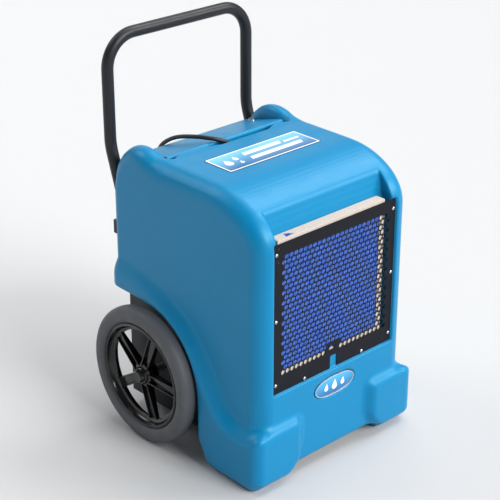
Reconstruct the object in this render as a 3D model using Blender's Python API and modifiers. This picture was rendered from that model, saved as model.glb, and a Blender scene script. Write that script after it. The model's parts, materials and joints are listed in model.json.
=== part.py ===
"""Commercial refrigerant dehumidifier on two large wheels, as an assembly of separate solids.

World frame: metres, +Z up, the air inlet faces -Y, the origin is under the middle of the machine.
All sizes in this file are millimetres and are turned into metres by the helpers. A "depth" is the
distance back from the face of the inlet grille, and a "height" is the distance above the floor.
"""
from math import cos, hypot, pi, radians, sin, tan

import bmesh
import bpy
from mathutils import Matrix, Vector

MM = 0.001
GAP = 0.3                      # clearance between pieces that touch

# --- driving dimensions -----------------------------------------------------------------------
GRILLE_FACE_Y = -231.65        # world Y of depth 0, so that the machine is centred on the origin
TOP_Z = 626.0                  # flat top of the housing
BODY_HALF = 212.0              # half width of the housing
SKIRT_LOW = 27.0               # lower edge of the front between the feet
WALL = 5.0                     # rotomoulded wall
FRONT = -5.0                   # depth of the housing's front face
REAR = 450.0                   # depth of the housing's rear edge
FRONT_CURVE = (155.0, 106.0)   # half axes of the elliptical front of the lid, depth and height
SIDE_ROUND = 38.0              # radius of the long side edges
FLARE_HALF = 235.0             # half width over the skirt and the front feet
TAPER, TAPER_START = 14.0, 170.0  # the skirt narrows by this much towards the rear
FOOT_INNER = 104.0             # inner face of a front foot
FOOT_FRONT = -20.0             # depth of a foot's front face
EAR_INNER = 165.0              # inner wall of the raised rear corners

AXLE_DEPTH = 318.7
WHEEL_RADIUS = 154.0
TYRE_RADIUS = 21.0             # radius of the tyre's section
WHEEL_X = 242.0                # middle plane of a wheel
RIM_RADIUS = 117.5             # seat of the tyre on the rim
ARCH_RADIUS = WHEEL_RADIUS + 6.0
CHASSIS_HALF = 175.5           # half width of the steel tray
AXLE_RADIUS = 8.0

GRILLE_HALF = 172.0
GRILLE_LOW, GRILLE_HIGH = 210.4, 538.8
GRILLE_THICK = 2.0
GRILLE_SCREWS = ([(side * 165.5, z) for side in (-1, 1) for z in (517.0, 373.0, 230.0)]
                 + [(-84.0, 216.0), (84.0, 216.0)])
BADGE_CENTRE = (0.0, 171.0)
BADGE_HALF = (57.0, 22.0)
BADGE_BLUNTNESS = 0.75         # below 1 the ends of the almond are blunter
FILTER_LEFT, FILTER_RIGHT = -160.0, 142.0
FILTER_LOW, FILTER_HIGH = 243.0, 545.0
FILTER_FRONT, FILTER_BACK = 3.0, 25.0
POCKET_LEFT, POCKET_RIGHT = -166.0, 158.0

TUBE_RADIUS = 12.7             # one inch handle tube
HANDLE_HALF = 191.6
HANDLE_DEPTH = 470.6
HANDLE_TOP = 846.3             # axis of the top bar
HANDLE_BEND = 68.0
LEG_DEPTH = 436.0              # the legs' depth where they are clamped to the rear panel
LEG_TILT = radians(18.0)
LEG_KNEE = 618.0
LEG_END = 400.0

DECK_FRONT, DECK_REAR = (321.0, 626.0), (445.5, 592.0)
DECK_SLOPE = (DECK_FRONT[1] - DECK_REAR[1]) / (DECK_REAR[0] - DECK_FRONT[0])
DECK_BOLT_X = 147.0
PANEL_DEPTH = 415.0            # front face of the rear panel
TRAY_TOP = 319.0

FAN_HEIGHT = 448.0
FAN_RADIUS = 98.0
FAN_DEPTH = 374.0              # middle of the blades
MOTOR_RADIUS = 44.0
PUMP_DEPTH = 384.0
DRAIN = (-118.0, 92.0)         # x and height of the drain connector

SWITCH = (140.5, 400.0)        # x and height of the power rocker
SWITCH_PIVOT_DEPTH = 425.5
SWITCH_TILT = radians(-8.0)
PURGE = (140.5, 445.0)
BREAKER = (140.5, 478.0)
METER = (140.5, 518.0)

CORD_RADIUS = 4.5
COIL_CENTRE = (128.0, 622.0)   # x and depth of the stored cord
COIL_INNER, COIL_OUTER = 49.0, 86.0
COIL_LOW, COIL_HIGH = 1.8, 38.4


# --- scene and materials -----------------------------------------------------------------------
for old in list(bpy.data.objects):
    bpy.data.objects.remove(old, do_unlink=True)


def collection(name):
    made = bpy.data.collections.new(name)
    bpy.context.scene.collection.children.link(made)
    return made


PARTS = collection("dehumidifier")
CUTTERS = collection("cutters")


def material(name, colour, roughness, metallic=0.0):
    made = bpy.data.materials.new(name)
    made.use_nodes = True
    shader = made.node_tree.nodes["Principled BSDF"]
    shader.inputs["Base Color"].default_value = (*colour, 1.0)
    shader.inputs["Roughness"].default_value = roughness
    shader.inputs["Metallic"].default_value = metallic
    return made


BLUE = material("blue_polyethylene", (0.02, 0.30, 0.52), 0.45)
BLACK_STEEL = material("black_powder_coat", (0.02, 0.02, 0.023), 0.5)
ZINC = material("zinc_plated_steel", (0.62, 0.63, 0.65), 0.35, 1.0)
RUBBER = material("grey_tyre_rubber", (0.06, 0.065, 0.07), 0.75)
BLACK_PLASTIC = material("black_plastic", (0.012, 0.012, 0.013), 0.35)
CARD = material("filter_card", (0.75, 0.66, 0.58), 0.8)
MEDIA = material("filter_media", (0.03, 0.10, 0.45), 0.95)
ALUMINIUM = material("aluminium_fins", (0.75, 0.76, 0.78), 0.4, 1.0)
COPPER = material("copper_tube", (0.72, 0.36, 0.22), 0.35, 1.0)
BRASS = material("brass", (0.72, 0.55, 0.25), 0.35, 1.0)
GREY_PLASTIC = material("grey_plastic", (0.35, 0.36, 0.38), 0.5)
LABEL = material("printed_label", (0.25, 0.55, 0.80), 0.4)
RED = material("red_plastic", (0.55, 0.03, 0.02), 0.35)
CORD = material("cord_rubber", (0.015, 0.015, 0.017), 0.6)


# --- helpers -----------------------------------------------------------------------------------
def at(x, depth, height):
    """World position in metres of a place given by its x, depth and height in millimetres."""
    return Vector((x, depth + GRILLE_FACE_Y, height)) * MM


def place(obj, name, finish):
    """Names an object and files it with the parts, or with the cutters when it has no finish."""
    obj.name = name
    obj.data.name = name
    for holder in list(obj.users_collection):
        holder.objects.unlink(obj)
    if finish is None:
        CUTTERS.objects.link(obj)
        obj.hide_render = True
        obj.display_type = "WIRE"
    else:
        PARTS.objects.link(obj)
        obj.data.materials.append(finish)
    return obj


def from_bmesh(bm, name, finish):
    bmesh.ops.recalc_face_normals(bm, faces=bm.faces)
    mesh = bpy.data.meshes.new(name)
    bm.to_mesh(mesh)
    bm.free()
    return place(bpy.data.objects.new(name, mesh), name, finish)


def box(name, x_range, depth_range, height_range, finish):
    bm = bmesh.new()
    bmesh.ops.create_cube(bm, size=1.0)
    low = at(x_range[0], depth_range[0], height_range[0])
    high = at(x_range[1], depth_range[1], height_range[1])
    for vert in bm.verts:
        vert.co = Vector(low[i] + (high[i] - low[i]) * (vert.co[i] + 0.5) for i in range(3))
    return from_bmesh(bm, name, finish)


def rod(name, start, end, radius, finish, sides=24, end_radius=None):
    """Round bar or cone between two places given as (x, depth, height)."""
    first, last = at(*start), at(*end)
    along = last - first
    bm = bmesh.new()
    bmesh.ops.create_cone(bm, cap_ends=True, segments=sides, radius1=radius * MM,
                          radius2=(radius if end_radius is None else end_radius) * MM,
                          depth=along.length)
    turn = along.to_track_quat("Z", "X").to_matrix().to_4x4()
    bmesh.ops.transform(bm, matrix=Matrix.Translation((first + last) / 2) @ turn, verts=bm.verts)
    return from_bmesh(bm, name, finish)


def curve_surface(curve_object):
    """Turns a curve object into the closed surface it shows, in world coordinates."""
    PARTS.objects.link(curve_object)
    evaluated = curve_object.evaluated_get(bpy.context.evaluated_depsgraph_get())
    mesh = bpy.data.meshes.new_from_object(evaluated)
    mesh.transform(curve_object.matrix_world)
    bpy.data.objects.remove(curve_object, do_unlink=True)
    bm = bmesh.new()
    bm.from_mesh(mesh)
    bmesh.ops.remove_doubles(bm, verts=bm.verts, dist=0.00001)
    return bm


AXES = {
    "X": Matrix(((0, 0, 1, 0), (1, 0, 0, 0), (0, 1, 0, 0), (0, 0, 0, 1))),
    "Y": Matrix(((1, 0, 0, 0), (0, 0, -1, 0), (0, 1, 0, 0), (0, 0, 0, 1))),
    "Z": Matrix.Identity(4),
}


def slab(name, outlines, axis, span, finish):
    """Flat outlines given thickness along an axis; outlines after the first are holes.

    Outline points are (depth, height) along X, (x, height) along Y and (x, depth) along Z.
    """
    data = bpy.data.curves.new(name, "CURVE")
    data.dimensions = "2D"
    data.fill_mode = "BOTH"
    data.extrude = abs(span[1] - span[0]) / 2 * MM
    for outline in outlines:
        spline = data.splines.new("POLY")
        spline.points.add(len(outline) - 1)
        spline.use_cyclic_u = True
        for point, (u, v) in zip(spline.points, outline):
            point.co = (u * MM, v * MM, 0.0, 1.0)
    middle = (span[0] + span[1]) / 2
    shift = {"X": (middle, GRILLE_FACE_Y, 0), "Y": (0, middle + GRILLE_FACE_Y, 0),
             "Z": (0, GRILLE_FACE_Y, middle)}[axis]
    made = bpy.data.objects.new(name, data)
    made.matrix_world = Matrix.Translation(Vector(shift) * MM) @ AXES[axis]
    bpy.context.view_layer.update()
    bm = curve_surface(made)
    bmesh.ops.dissolve_limit(bm, angle_limit=radians(0.5), verts=bm.verts, edges=bm.edges)
    return from_bmesh(bm, name, finish)


def pipe(name, points, radius, finish, resolution=2):
    """Round tube along a line of (x, depth, height) points."""
    data = bpy.data.curves.new(name, "CURVE")
    data.dimensions = "3D"
    data.bevel_depth = radius * MM
    data.bevel_resolution = resolution
    data.use_fill_caps = True
    spline = data.splines.new("POLY")
    spline.points.add(len(points) - 1)
    for point, place_mm in zip(spline.points, points):
        point.co = (*at(*place_mm), 1.0)
    made = bpy.data.objects.new(name, data)
    bpy.context.view_layer.update()
    return from_bmesh(curve_surface(made), name, finish)


def turned(name, profile, centre, axis, finish, steps=32):
    """Solid of revolution; the profile is (radius, distance along the axis), both ends at radius 0
    for a solid or a closed loop for a ring."""
    bm = bmesh.new()
    ring = profile[0][0] > 0
    verts = [bm.verts.new((r * MM, 0.0, d * MM)) for r, d in profile]
    for first, second in zip(verts, verts[1:] + ([verts[0]] if ring else [])):
        bm.edges.new((first, second))
    mesh = bpy.data.meshes.new(name)
    bm.to_mesh(mesh)
    bm.free()
    made = place(bpy.data.objects.new(name, mesh), name, finish)
    screw = made.modifiers.new("turn", "SCREW")
    screw.axis = "Z"
    screw.steps = steps
    screw.render_steps = steps
    screw.use_merge_vertices = True
    screw.merge_threshold = 0.00001
    screw.use_normal_calculate = True
    made.rotation_mode = "QUATERNION"
    made.rotation_quaternion = Vector(axis).to_track_quat("Z", "X")
    made.location = at(*centre)
    bpy.context.view_layer.update()
    evaluated = made.evaluated_get(bpy.context.evaluated_depsgraph_get())
    solid = bpy.data.meshes.new_from_object(evaluated)
    solid.transform(made.matrix_world)
    bpy.data.objects.remove(made, do_unlink=True)
    bm = bmesh.new()
    bm.from_mesh(solid)
    bmesh.ops.remove_doubles(bm, verts=bm.verts, dist=0.00001)
    return from_bmesh(bm, name, finish)


def boolean(target, other, operation):
    step = target.modifiers.new(operation.lower(), "BOOLEAN")
    step.operation = operation
    step.solver = "EXACT"
    step.object = other
    return target


def cut(target, *cutters):
    for cutter in cutters:
        boolean(target, cutter, "DIFFERENCE")
    return target


def fuse(target, *others):
    for other in others:
        boolean(target, other, "UNION")
    return target


def round_edges(obj, width, segments, chosen=None):
    """Rounds the sharp edges, or those whose middle (x, depth, height) the test accepts."""
    bevel = obj.modifiers.new("round", "BEVEL")
    bevel.width = width * MM
    bevel.segments = segments
    bevel.use_clamp_overlap = chosen is None
    if chosen is None:
        bevel.limit_method = "ANGLE"
        bevel.angle_limit = radians(40)
        return obj
    bevel.limit_method = "WEIGHT"
    bm = bmesh.new()
    bm.from_mesh(obj.data)
    weights = bm.edges.layers.float.new("bevel_weight_edge")
    for edge in bm.edges:
        middle = (edge.verts[0].co + edge.verts[1].co) / 2 / MM
        along = (edge.verts[0].co - edge.verts[1].co).normalized()
        edge[weights] = chosen(middle.x, middle.y - GRILLE_FACE_Y, middle.z, along)
    bm.to_mesh(obj.data)
    bm.free()
    return obj


def arc(centre, radii, start, end, count):
    """Points on a circular or elliptical arc, angles in degrees."""
    return [(centre[0] + radii[0] * cos(radians(start + (end - start) * i / count)),
             centre[1] + radii[1] * sin(radians(start + (end - start) * i / count)))
            for i in range(count + 1)]


def circle(centre, radius, count, phase=0.0):
    return arc(centre, (radius, radius), phase, phase + 360, count)[:-1]


def mirrored(maker, *names):
    """Makes the same piece on the left (-X) and on the right (+X)."""
    return [maker(side, name) for side, name in zip((-1, 1), names)]


def span_of(side, low, high):
    """A range of distances from the middle plane, as an ascending range of x on one side."""
    return (low, high) if side > 0 else (-high, -low)


# --- outlines ----------------------------------------------------------------------------------
def lid_curve(inset, count=10):
    """Front curve of the lid, from the front face up to the flat top."""
    half_depth, half_height = FRONT_CURVE
    centre = (FRONT + half_depth, TOP_Z - half_height)
    return arc(centre, (half_depth - inset, half_height - inset), 180, 90, count)


def deck_floor(depth):
    """Height of the sunken rear part of the top, under the deck cover."""
    return 598.0 - (depth - 312.0) * 37.0 / 138.0


def body_outline():
    return ([(FRONT, SKIRT_LOW)] + lid_curve(0.0)
            + [(312.0, TOP_Z), (312.0, deck_floor(312.0)), (REAR, deck_floor(REAR)),
               (REAR, SKIRT_LOW)])


def cavity_outline():
    curve = [point for point in lid_curve(WALL) if point[0] > 43.5]
    return ([(1.0, -50.0), (1.0, 188.0), (33.0, 200.0), (33.0, 546.0), (43.0, 590.5)] + curve
            + [(307.0, TOP_Z - WALL), (307.0, deck_floor(312.0) - WALL),
               (REAR + 10.0, deck_floor(REAR + 10.0) - WALL), (REAR + 10.0, -50.0)])


def ear_outline():
    return [(285.0, 540.0), (285.0, 622.0), (300.0, 629.0), (326.0, 638.0), (349.0, 640.5),
            (385.0, 638.0), (407.0, 629.0), (425.0, 614.0), (440.0, 595.0), (REAR - 0.5, 575.0),
            (REAR - 0.5, 540.0)]


def flare_outline(inset):
    """Raised skirt that swoops from the front foot over the wheel; inset shrinks it all round."""
    rear_edge = REAR - 0.7
    ridge = [(rear_edge, 368.0), (360.0, 359.0), (277.0, 335.0), (220.0, 307.0), (178.0, 270.0),
             (144.0, 222.0), (116.0, 176.0), (92.0, 146.0), (60.0, 129.0), (20.0, 128.0)]
    ridge = [(depth + inset * 0.5, height - inset) for depth, height in ridge]
    front = [(FOOT_FRONT + inset, 136.0 - inset), (FOOT_FRONT + inset, 26.0)]
    low = -20.0 if inset else 0.0
    base = [(-12.0 + inset, 8.0 if not inset else low), (6.0 + inset, low), (128.0 - inset, low),
            (150.0 - inset, 14.0), (162.0 - inset, 44.0)]
    inside_well = [(260.0, 90.0), (rear_edge + inset * 0.5, 260.0)]
    return front + base + inside_well + ridge


def well_outline(grow):
    """Wheel space: open below and behind."""
    radius = ARCH_RADIUS + grow
    return ([(AXLE_DEPTH - radius, -60.0)]
            + arc((AXLE_DEPTH, WHEEL_RADIUS), (radius, radius), 180, 90, 10)
            + [(REAR + 30.0, WHEEL_RADIUS + radius), (REAR + 30.0, -60.0)])


# --- housing -----------------------------------------------------------------------------------
def build_housing():
    body = slab("housing", [body_outline()], "X", (-BODY_HALF, BODY_HALF), BLUE)

    def long_side_edge(x, depth, height, along):
        on_side = abs(along.x) < 0.5 and abs(x) > BODY_HALF - WALL - 1.0
        return 1.0 if on_side and depth < 300.0 and height > SKIRT_LOW + 1.0 else 0.0

    round_edges(body, SIDE_ROUND, 4, long_side_edge)

    def foot_chamfer(side, name):
        corner = [(FOOT_INNER - 30.0, 60.0), (FOOT_INNER - 1.0, 60.0), (FOOT_INNER + 6.0, 46.0),
                  (FOOT_INNER + 32.0, 20.0), (FOOT_INNER + 40.0, -10.0), (FOOT_INNER - 30.0, -10.0)]
        return slab(name, [[(side * x, z) for x, z in corner]], "Y", (-60.0, 200.0), None)

    def flare_taper(side, name, inset=0.0):
        limit = [(FLARE_HALF - inset, TAPER_START), (FLARE_HALF - TAPER - inset, REAR + 10.0),
                 (FLARE_HALF + 40.0, REAR + 10.0), (FLARE_HALF + 40.0, TAPER_START)]
        return slab(name, [[(side * x, depth) for x, depth in limit]], "Z", (-60.0, 420.0), None)

    def flare(side, name):
        made = slab(name, [flare_outline(0.0)], "X", span_of(side, FOOT_INNER, FLARE_HALF), None)

        def outer_edge(x, depth, height, along):
            if abs(along.x) > 0.9:
                return 0.9 if depth < -15.0 else 0.0
            if abs(abs(x) - FLARE_HALF) < 0.1:
                in_well = hypot(depth - AXLE_DEPTH, height - WHEEL_RADIUS) < ARCH_RADIUS
                return 0.0 if in_well or depth > REAR - 2.0 else 1.0
            return 0.55 if depth < 15.0 and height > 2.0 else 0.0

        round_edges(made, 16.0, 2, outer_edge)
        return cut(made, foot_chamfer(side, name + "_chamfer"), flare_taper(side, name + "_taper"))

    def ear(side, name):
        outer = BODY_HALF - GAP
        made = slab(name, [ear_outline()], "X", span_of(side, EAR_INNER, outer), None)

        def top_edge(x, depth, height, along):
            if abs(along.x) > 0.5 or height < 560.0 or depth < 286.0:
                return 0.0
            return 1.0 if abs(abs(x) - outer) < 0.1 else 0.2

        return round_edges(made, 34.0, 4, top_edge)

    fuse(body, *mirrored(flare, "flare_left", "flare_right"))
    fuse(body, *mirrored(ear, "ear_left", "ear_right"))

    inside = slab("cavity", [cavity_outline()], "X", (WALL - BODY_HALF, BODY_HALF - WALL), None)
    round_edges(inside, SIDE_ROUND - WALL, 4, long_side_edge)

    def flare_hollow(side, name):
        made = slab(name, [flare_outline(6.5)], "X", span_of(side, 200.0, FLARE_HALF - 6.0), None)
        return cut(made, flare_taper(side, name + "_taper", 6.0))

    def arch_wall(side, name):
        return slab(name, [well_outline(6.0)], "X", span_of(side, CHASSIS_HALF + 0.8, 260.0), None)

    def well(side, name):
        return slab(name, [well_outline(0.0)], "X", span_of(side, CHASSIS_HALF - 0.5, 300.0), None)

    fuse(inside, *mirrored(flare_hollow, "flare_hollow_left", "flare_hollow_right"))
    cut(inside, *mirrored(arch_wall, "arch_wall_left", "arch_wall_right"))
    cut(body, inside)
    cut(body, *mirrored(well, "well_left", "well_right"))

    def foot_core(side, name):
        made = box(name, span_of(side, FOOT_INNER + 2.0, 216.0), (6.5, 45.0), (0.0, 100.0), None)
        return cut(made, foot_chamfer(side, name + "_chamfer"))

    fuse(body, *mirrored(foot_core, "foot_core_left", "foot_core_right"))

    recess = box("grille_recess", (-GRILLE_HALF - 1.5, GRILLE_HALF + 1.5), (-60.0, GRILLE_THICK + GAP),
                 (GRILLE_LOW - 1.5, GRILLE_HIGH + 1.5), None)
    slot = box("filter_slot", (POCKET_LEFT, POCKET_RIGHT), (-60.0, FILTER_BACK + 1.5),
               (FILTER_LOW - 1.0, FILTER_HIGH + 4.0), None)
    wedge = slab("pocket_wedge", [[(-60.0, 541.0), (27.0, 541.0), (29.0, 549.0), (38.5, 594.0),
                                   (30.0, 680.0), (-60.0, 680.0)]],
                 "X", (POCKET_LEFT, POCKET_RIGHT), None)
    air_way = box("air_way", (-148.0, 138.0), (0.0, 60.0), (252.0, 534.0), None)
    trough = slab("cord_notch", [[(-72.0, 340.0), (-72.0, 311.5), (-35.0, 300.0), (95.0, 300.0),
                                  (122.0, 311.5), (122.0, 340.0)]], "Z", (599.0, 700.0), None)
    cut(body, recess, slot, wedge, air_way, trough)

    def leg_notch(side, name):
        lean = (HANDLE_DEPTH - LEG_DEPTH)
        knee = LEG_KNEE - lean / tan(LEG_TILT)
        clear = TUBE_RADIUS + 3.8
        outline = [(LEG_DEPTH - clear, 330.0), (LEG_DEPTH - clear, knee),
                   (HANDLE_DEPTH - clear, LEG_KNEE), (500.0, LEG_KNEE), (500.0, 330.0)]
        return slab(name, [outline], "X", span_of(side, HANDLE_HALF - 15.5, HANDLE_HALF + 15.0), None)

    cut(body, *mirrored(leg_notch, "leg_notch_left", "leg_notch_right"))

    badge_seat = slab("badge_seat", [badge_outline(2.5)], "Y", (-20.0, FRONT + 3.5), None)
    cut(body, badge_seat)
    cut(body, *[rod(f"screw_hole_{i}", (x, -2.0, z), (x, 22.0, z), 2.3, None, sides=8)
                for i, (x, z) in enumerate(GRILLE_SCREWS)])
    cut(body, *[rod(f"bolt_hole_{i}", deck_point(x, 6.0), deck_point(x, -60.0), 3.4, None, sides=12)
                for i, x in enumerate((-DECK_BOLT_X, DECK_BOLT_X))])
    return body


def badge_outline(grow):
    """Wide almond with blunt ends."""
    half_width, half_height, count = BADGE_HALF[0] + grow, BADGE_HALF[1] + grow, 28
    points = []
    for index in range(count):
        turn = 2 * pi * index / count
        reach = abs(cos(turn)) ** BADGE_BLUNTNESS * (1 if cos(turn) > 0 else -1)
        points.append((BADGE_CENTRE[0] + half_width * reach, BADGE_CENTRE[1] + half_height * sin(turn)))
    return points


def deck_point(x, above):
    """A place on the sloping deck's bolt line, moved out along the deck's normal."""
    depth = 404.0
    height = DECK_FRONT[1] - (depth - DECK_FRONT[0]) * DECK_SLOPE
    normal = Vector((DECK_SLOPE, 1.0)).normalized()
    return (x, depth + above * normal[0], height + above * normal[1])


# --- fixed outer pieces ------------------------------------------------------------------------
def build_deck():
    """Cover between the ears: a folded channel with a front and a rear lip."""
    thick = 4.0
    front, rear = DECK_FRONT, DECK_REAR
    outline = [front, rear, (rear[0], 567.0), (rear[0] - thick, 567.0),
               (rear[0] - thick, rear[1] - 3.2), (front[0] + thick, front[1] - 5.2),
               (front[0] + thick, 599.0), (front[0], 599.0)]
    half = EAR_INNER - 2.0
    deck = slab("rear_deck", [outline], "X", (-half, half), BLUE)

    def outer_corner(x, depth, height, along):
        if abs(along.x) < 0.9 or height < 588.0:
            return 0.0
        return 1.0 if depth > rear[0] - 1.0 else (0.4 if depth < front[0] + 1.0 else 0.0)

    round_edges(deck, 6.0, 3, outer_corner)
    cut(deck, *[rod(f"deck_hole_{i}", deck_point(x, 6.0), deck_point(x, -12.0), 3.4, None, sides=12)
                for i, x in enumerate((-DECK_BOLT_X, DECK_BOLT_X))])
    for name, x in (("deck_bolt_left", -DECK_BOLT_X), ("deck_bolt_right", DECK_BOLT_X)):
        head = rod(name, deck_point(x, GAP), deck_point(x, 1.8), 8.0, ZINC, sides=16)
        fuse(head, rod(name + "_hex", deck_point(x, 1.5), deck_point(x, 6.5), 6.2, None, sides=6),
             rod(name + "_shank", deck_point(x, 1.0), deck_point(x, -30.0), 3.0, None, sides=12))


def build_grille():
    """Perforated steel inlet plate, screwed on, with a notch under its middle."""
    notch_half, notch_top = 10.0, 239.0
    low, high, half = GRILLE_LOW, GRILLE_HIGH, GRILLE_HALF
    outline = [(-half, low), (-notch_half, low), (-notch_half, notch_top), (notch_half, notch_top),
               (notch_half, low), (half, low), (half, high), (-half, high)]
    columns, rows, pitch, hole = 5, 5, 56.0, 25.0
    holes = []
    for row in range(rows):
        for column in range(columns):
            offset = pitch / 4 if row % 2 else -pitch / 4
            centre = ((column - (columns - 1) / 2) * pitch + offset,
                      380.0 + (row - (rows - 1) / 2) * pitch * 0.87)
            holes.append(circle(centre, hole, 6, 30.0))
    holes += [circle(screw, 2.3, 8, 22.5) for screw in GRILLE_SCREWS]
    slab("front_grille", [outline] + holes, "Y", (0.0, GRILLE_THICK), BLACK_STEEL)
    for index, (x, z) in enumerate(GRILLE_SCREWS):
        screw = rod(f"grille_screw_{index + 1}", (x, -GAP, z), (x, -2.3, z), 3.8, ZINC, sides=12,
                    end_radius=2.6)
        fuse(screw, rod(f"grille_shank_{index + 1}", (x, -1.0, z), (x, 15.0, z), 1.9, None, sides=8))


def build_trim():
    slab("front_badge", [badge_outline(0.0)], "Y", (FRONT + 0.6, FRONT + 3.5 - GAP), LABEL)
    box("top_label", (-126.5, 126.5), (171.0, 252.0), (TOP_Z + GAP, TOP_Z + 0.9), LABEL)


def handle_path():
    """Axis of the bent tube, from the left leg's end to the right one's."""
    lean = HANDLE_DEPTH - LEG_DEPTH
    knee = LEG_KNEE - lean / tan(LEG_TILT)
    soft = 22.0
    leg = [(LEG_DEPTH, LEG_END), (LEG_DEPTH, knee - soft),
           (LEG_DEPTH + 1.6, knee + 2.0),
           (LEG_DEPTH + soft * sin(LEG_TILT) + 0.6, knee + soft * cos(LEG_TILT)),
           (HANDLE_DEPTH - soft * sin(LEG_TILT) - 0.6, LEG_KNEE - soft * cos(LEG_TILT)),
           (HANDLE_DEPTH - 1.6, LEG_KNEE - 2.0), (HANDLE_DEPTH, LEG_KNEE + soft)]
    corner = arc((HANDLE_BEND - HANDLE_HALF, HANDLE_TOP - HANDLE_BEND),
                 (HANDLE_BEND, HANDLE_BEND), 180, 90, 8)
    left = ([(-HANDLE_HALF, depth, height) for depth, height in leg]
            + [(x, HANDLE_DEPTH, height) for x, height in corner])
    return left + [(-x, depth, height) for x, depth, height in reversed(left)]


def build_handle():
    pipe("handle", handle_path(), TUBE_RADIUS, BLACK_STEEL, resolution=2)

    def clamp(side, name):
        saddle = box(name, span_of(side, 170.0, 206.2), (PANEL_DEPTH + 2.0 + GAP, 452.5),
                     (428.0, 458.0), BLACK_STEEL)
        x = side * HANDLE_HALF
        return cut(saddle, rod(name + "_bore", (x, LEG_DEPTH, 400.0), (x, LEG_DEPTH, 480.0),
                               TUBE_RADIUS + GAP, None, sides=16))

    mirrored(clamp, "handle_clamp_left", "handle_clamp_right")


def build_chassis():
    """Steel tray that carries the refrigeration parts and the axle."""
    front, rear, floor, sheet = 47.5, 446.0, 37.0, 2.5
    tray = box("base_tray", (-CHASSIS_HALF, CHASSIS_HALF), (front, rear), (floor, TRAY_TOP),
               BLACK_STEEL)
    inner_half = CHASSIS_HALF - sheet
    cut(tray,
        box("tray_inside", (-inner_half, inner_half), (front + sheet, PANEL_DEPTH),
            (floor + sheet, TRAY_TOP + 50.0), None),
        box("tray_rear_room", (-inner_half, inner_half), (PANEL_DEPTH - 5.0, rear - sheet),
            (floor + sheet, TRAY_TOP - sheet), None),
        box("tray_front_room", (-200.0, 200.0), (0.0, 150.0), (180.0, 400.0), None),
        rod("axle_hole", (-200.0, AXLE_DEPTH, WHEEL_RADIUS), (200.0, AXLE_DEPTH, WHEEL_RADIUS),
            AXLE_RADIUS + GAP, None, sides=16),
        rod("drain_hole", drain_place(400.0), drain_place(470.0), 9.4, None, sides=16))
    rod("axle", (-261.0, AXLE_DEPTH, WHEEL_RADIUS), (261.0, AXLE_DEPTH, WHEEL_RADIUS),
        AXLE_RADIUS, ZINC, sides=16)


def drain_place(depth):
    return (DRAIN[0], depth, DRAIN[1])


def sector(inner, outer, start, end, count):
    """Ring segment with square ends around the fan's axis."""
    centre = (0.0, FAN_HEIGHT)
    return (arc(centre, (outer, outer), start, end, count)
            + arc(centre, (inner, inner), end, start, count))


def build_rear():
    """Rear panel with the air outlet, its guard and the controls."""
    panel = [(-206.0, 322.0), (206.0, 322.0), (206.0, 562.0), (-206.0, 562.0)]
    holes = [circle((0.0, FAN_HEIGHT), FAN_RADIUS + 4.0, 32)]
    slab("rear_panel", [panel] + holes, "Y", (PANEL_DEPTH, PANEL_DEPTH + 2.0), BLACK_STEEL)

    rings, spokes, bar = 3, 4, 2.5
    step = (FAN_RADIUS + 2.0 - 26.0) / rings
    openings = []
    for ring in range(rings):
        inner, outer = 26.0 + ring * step + bar / 2, 26.0 + (ring + 1) * step - bar / 2
        for spoke in range(spokes):
            edge, turn = 1.6 + 60.0 / inner, 360 / spokes
            openings.append(sector(inner, outer, spoke * turn + edge, spoke * turn + turn - edge, 5))
    face = PANEL_DEPTH + 2.0 + GAP
    slab("fan_guard", [circle((0.0, FAN_HEIGHT), FAN_RADIUS + 10.0, 28)] + openings, "Y",
         (face, face + 3.0), BLACK_STEEL)


def build_controls():
    """Fascia with a rocker switch, a purge button, a breaker button and an hour meter."""
    back = PANEL_DEPTH + 2.0 + GAP
    face = back + 2.0
    fascia = slab("control_plate", [[(113.0, 366.0), (168.0, 366.0), (168.0, 546.0),
                                     (113.0, 546.0)]], "Y", (back, face), GREY_PLASTIC)
    x, z = SWITCH
    bezel = box("switch_bezel", (x - 11.0, x + 11.0), (face - 1.0, face + 9.0),
                (z - 16.0, z + 16.0), None)
    fuse(fascia, bezel)
    cut(fascia, box("switch_well", (x - 8.0, x + 8.0), (face + 1.5, face + 20.0),
                    (z - 13.0, z + 13.0), None))
    middle = SWITCH_PIVOT_DEPTH
    rocker = slab("power_switch", [[(middle - 3.0, z - 5.0), (middle - 3.0, z + 5.0),
                                    (middle, z + 11.5), (middle + 5.0, z + 11.5),
                                    (middle + 2.5, z), (middle + 5.0, z - 11.5),
                                    (middle, z - 11.5)]], "X", (x - 7.2, x + 7.2), RED)
    pivot = at(x, middle, z)
    tilt = Matrix.Translation(pivot) @ Matrix.Rotation(SWITCH_TILT, 4, "X")
    rocker.data.transform(tilt @ Matrix.Translation(-pivot))

    for name, (x, z), radius, finish in (("purge_button", PURGE, 8.0, BLACK_PLASTIC),
                                         ("breaker_button", BREAKER, 5.0, RED)):
        fuse(fascia, rod(name + "_collar", (x, face - 1.0, z), (x, face + 5.0, z), radius + 4.0,
                         None, sides=24))
        cut(fascia, rod(name + "_well", (x, face + 0.8, z), (x, face + 20.0, z), radius + 0.5,
                        None, sides=24))
        rod(name, (x, face + 4.4, z), (x, face + 9.5, z), radius, finish, sides=20,
            end_radius=radius * 0.9)
    x, z = METER
    meter = (face + GAP, face + 5.0)
    round_edges(box("hour_meter", (x - 19.0, x + 19.0), meter, (z - 12.0, z + 12.0),
                    BLACK_PLASTIC), 1.5, 1)


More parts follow.
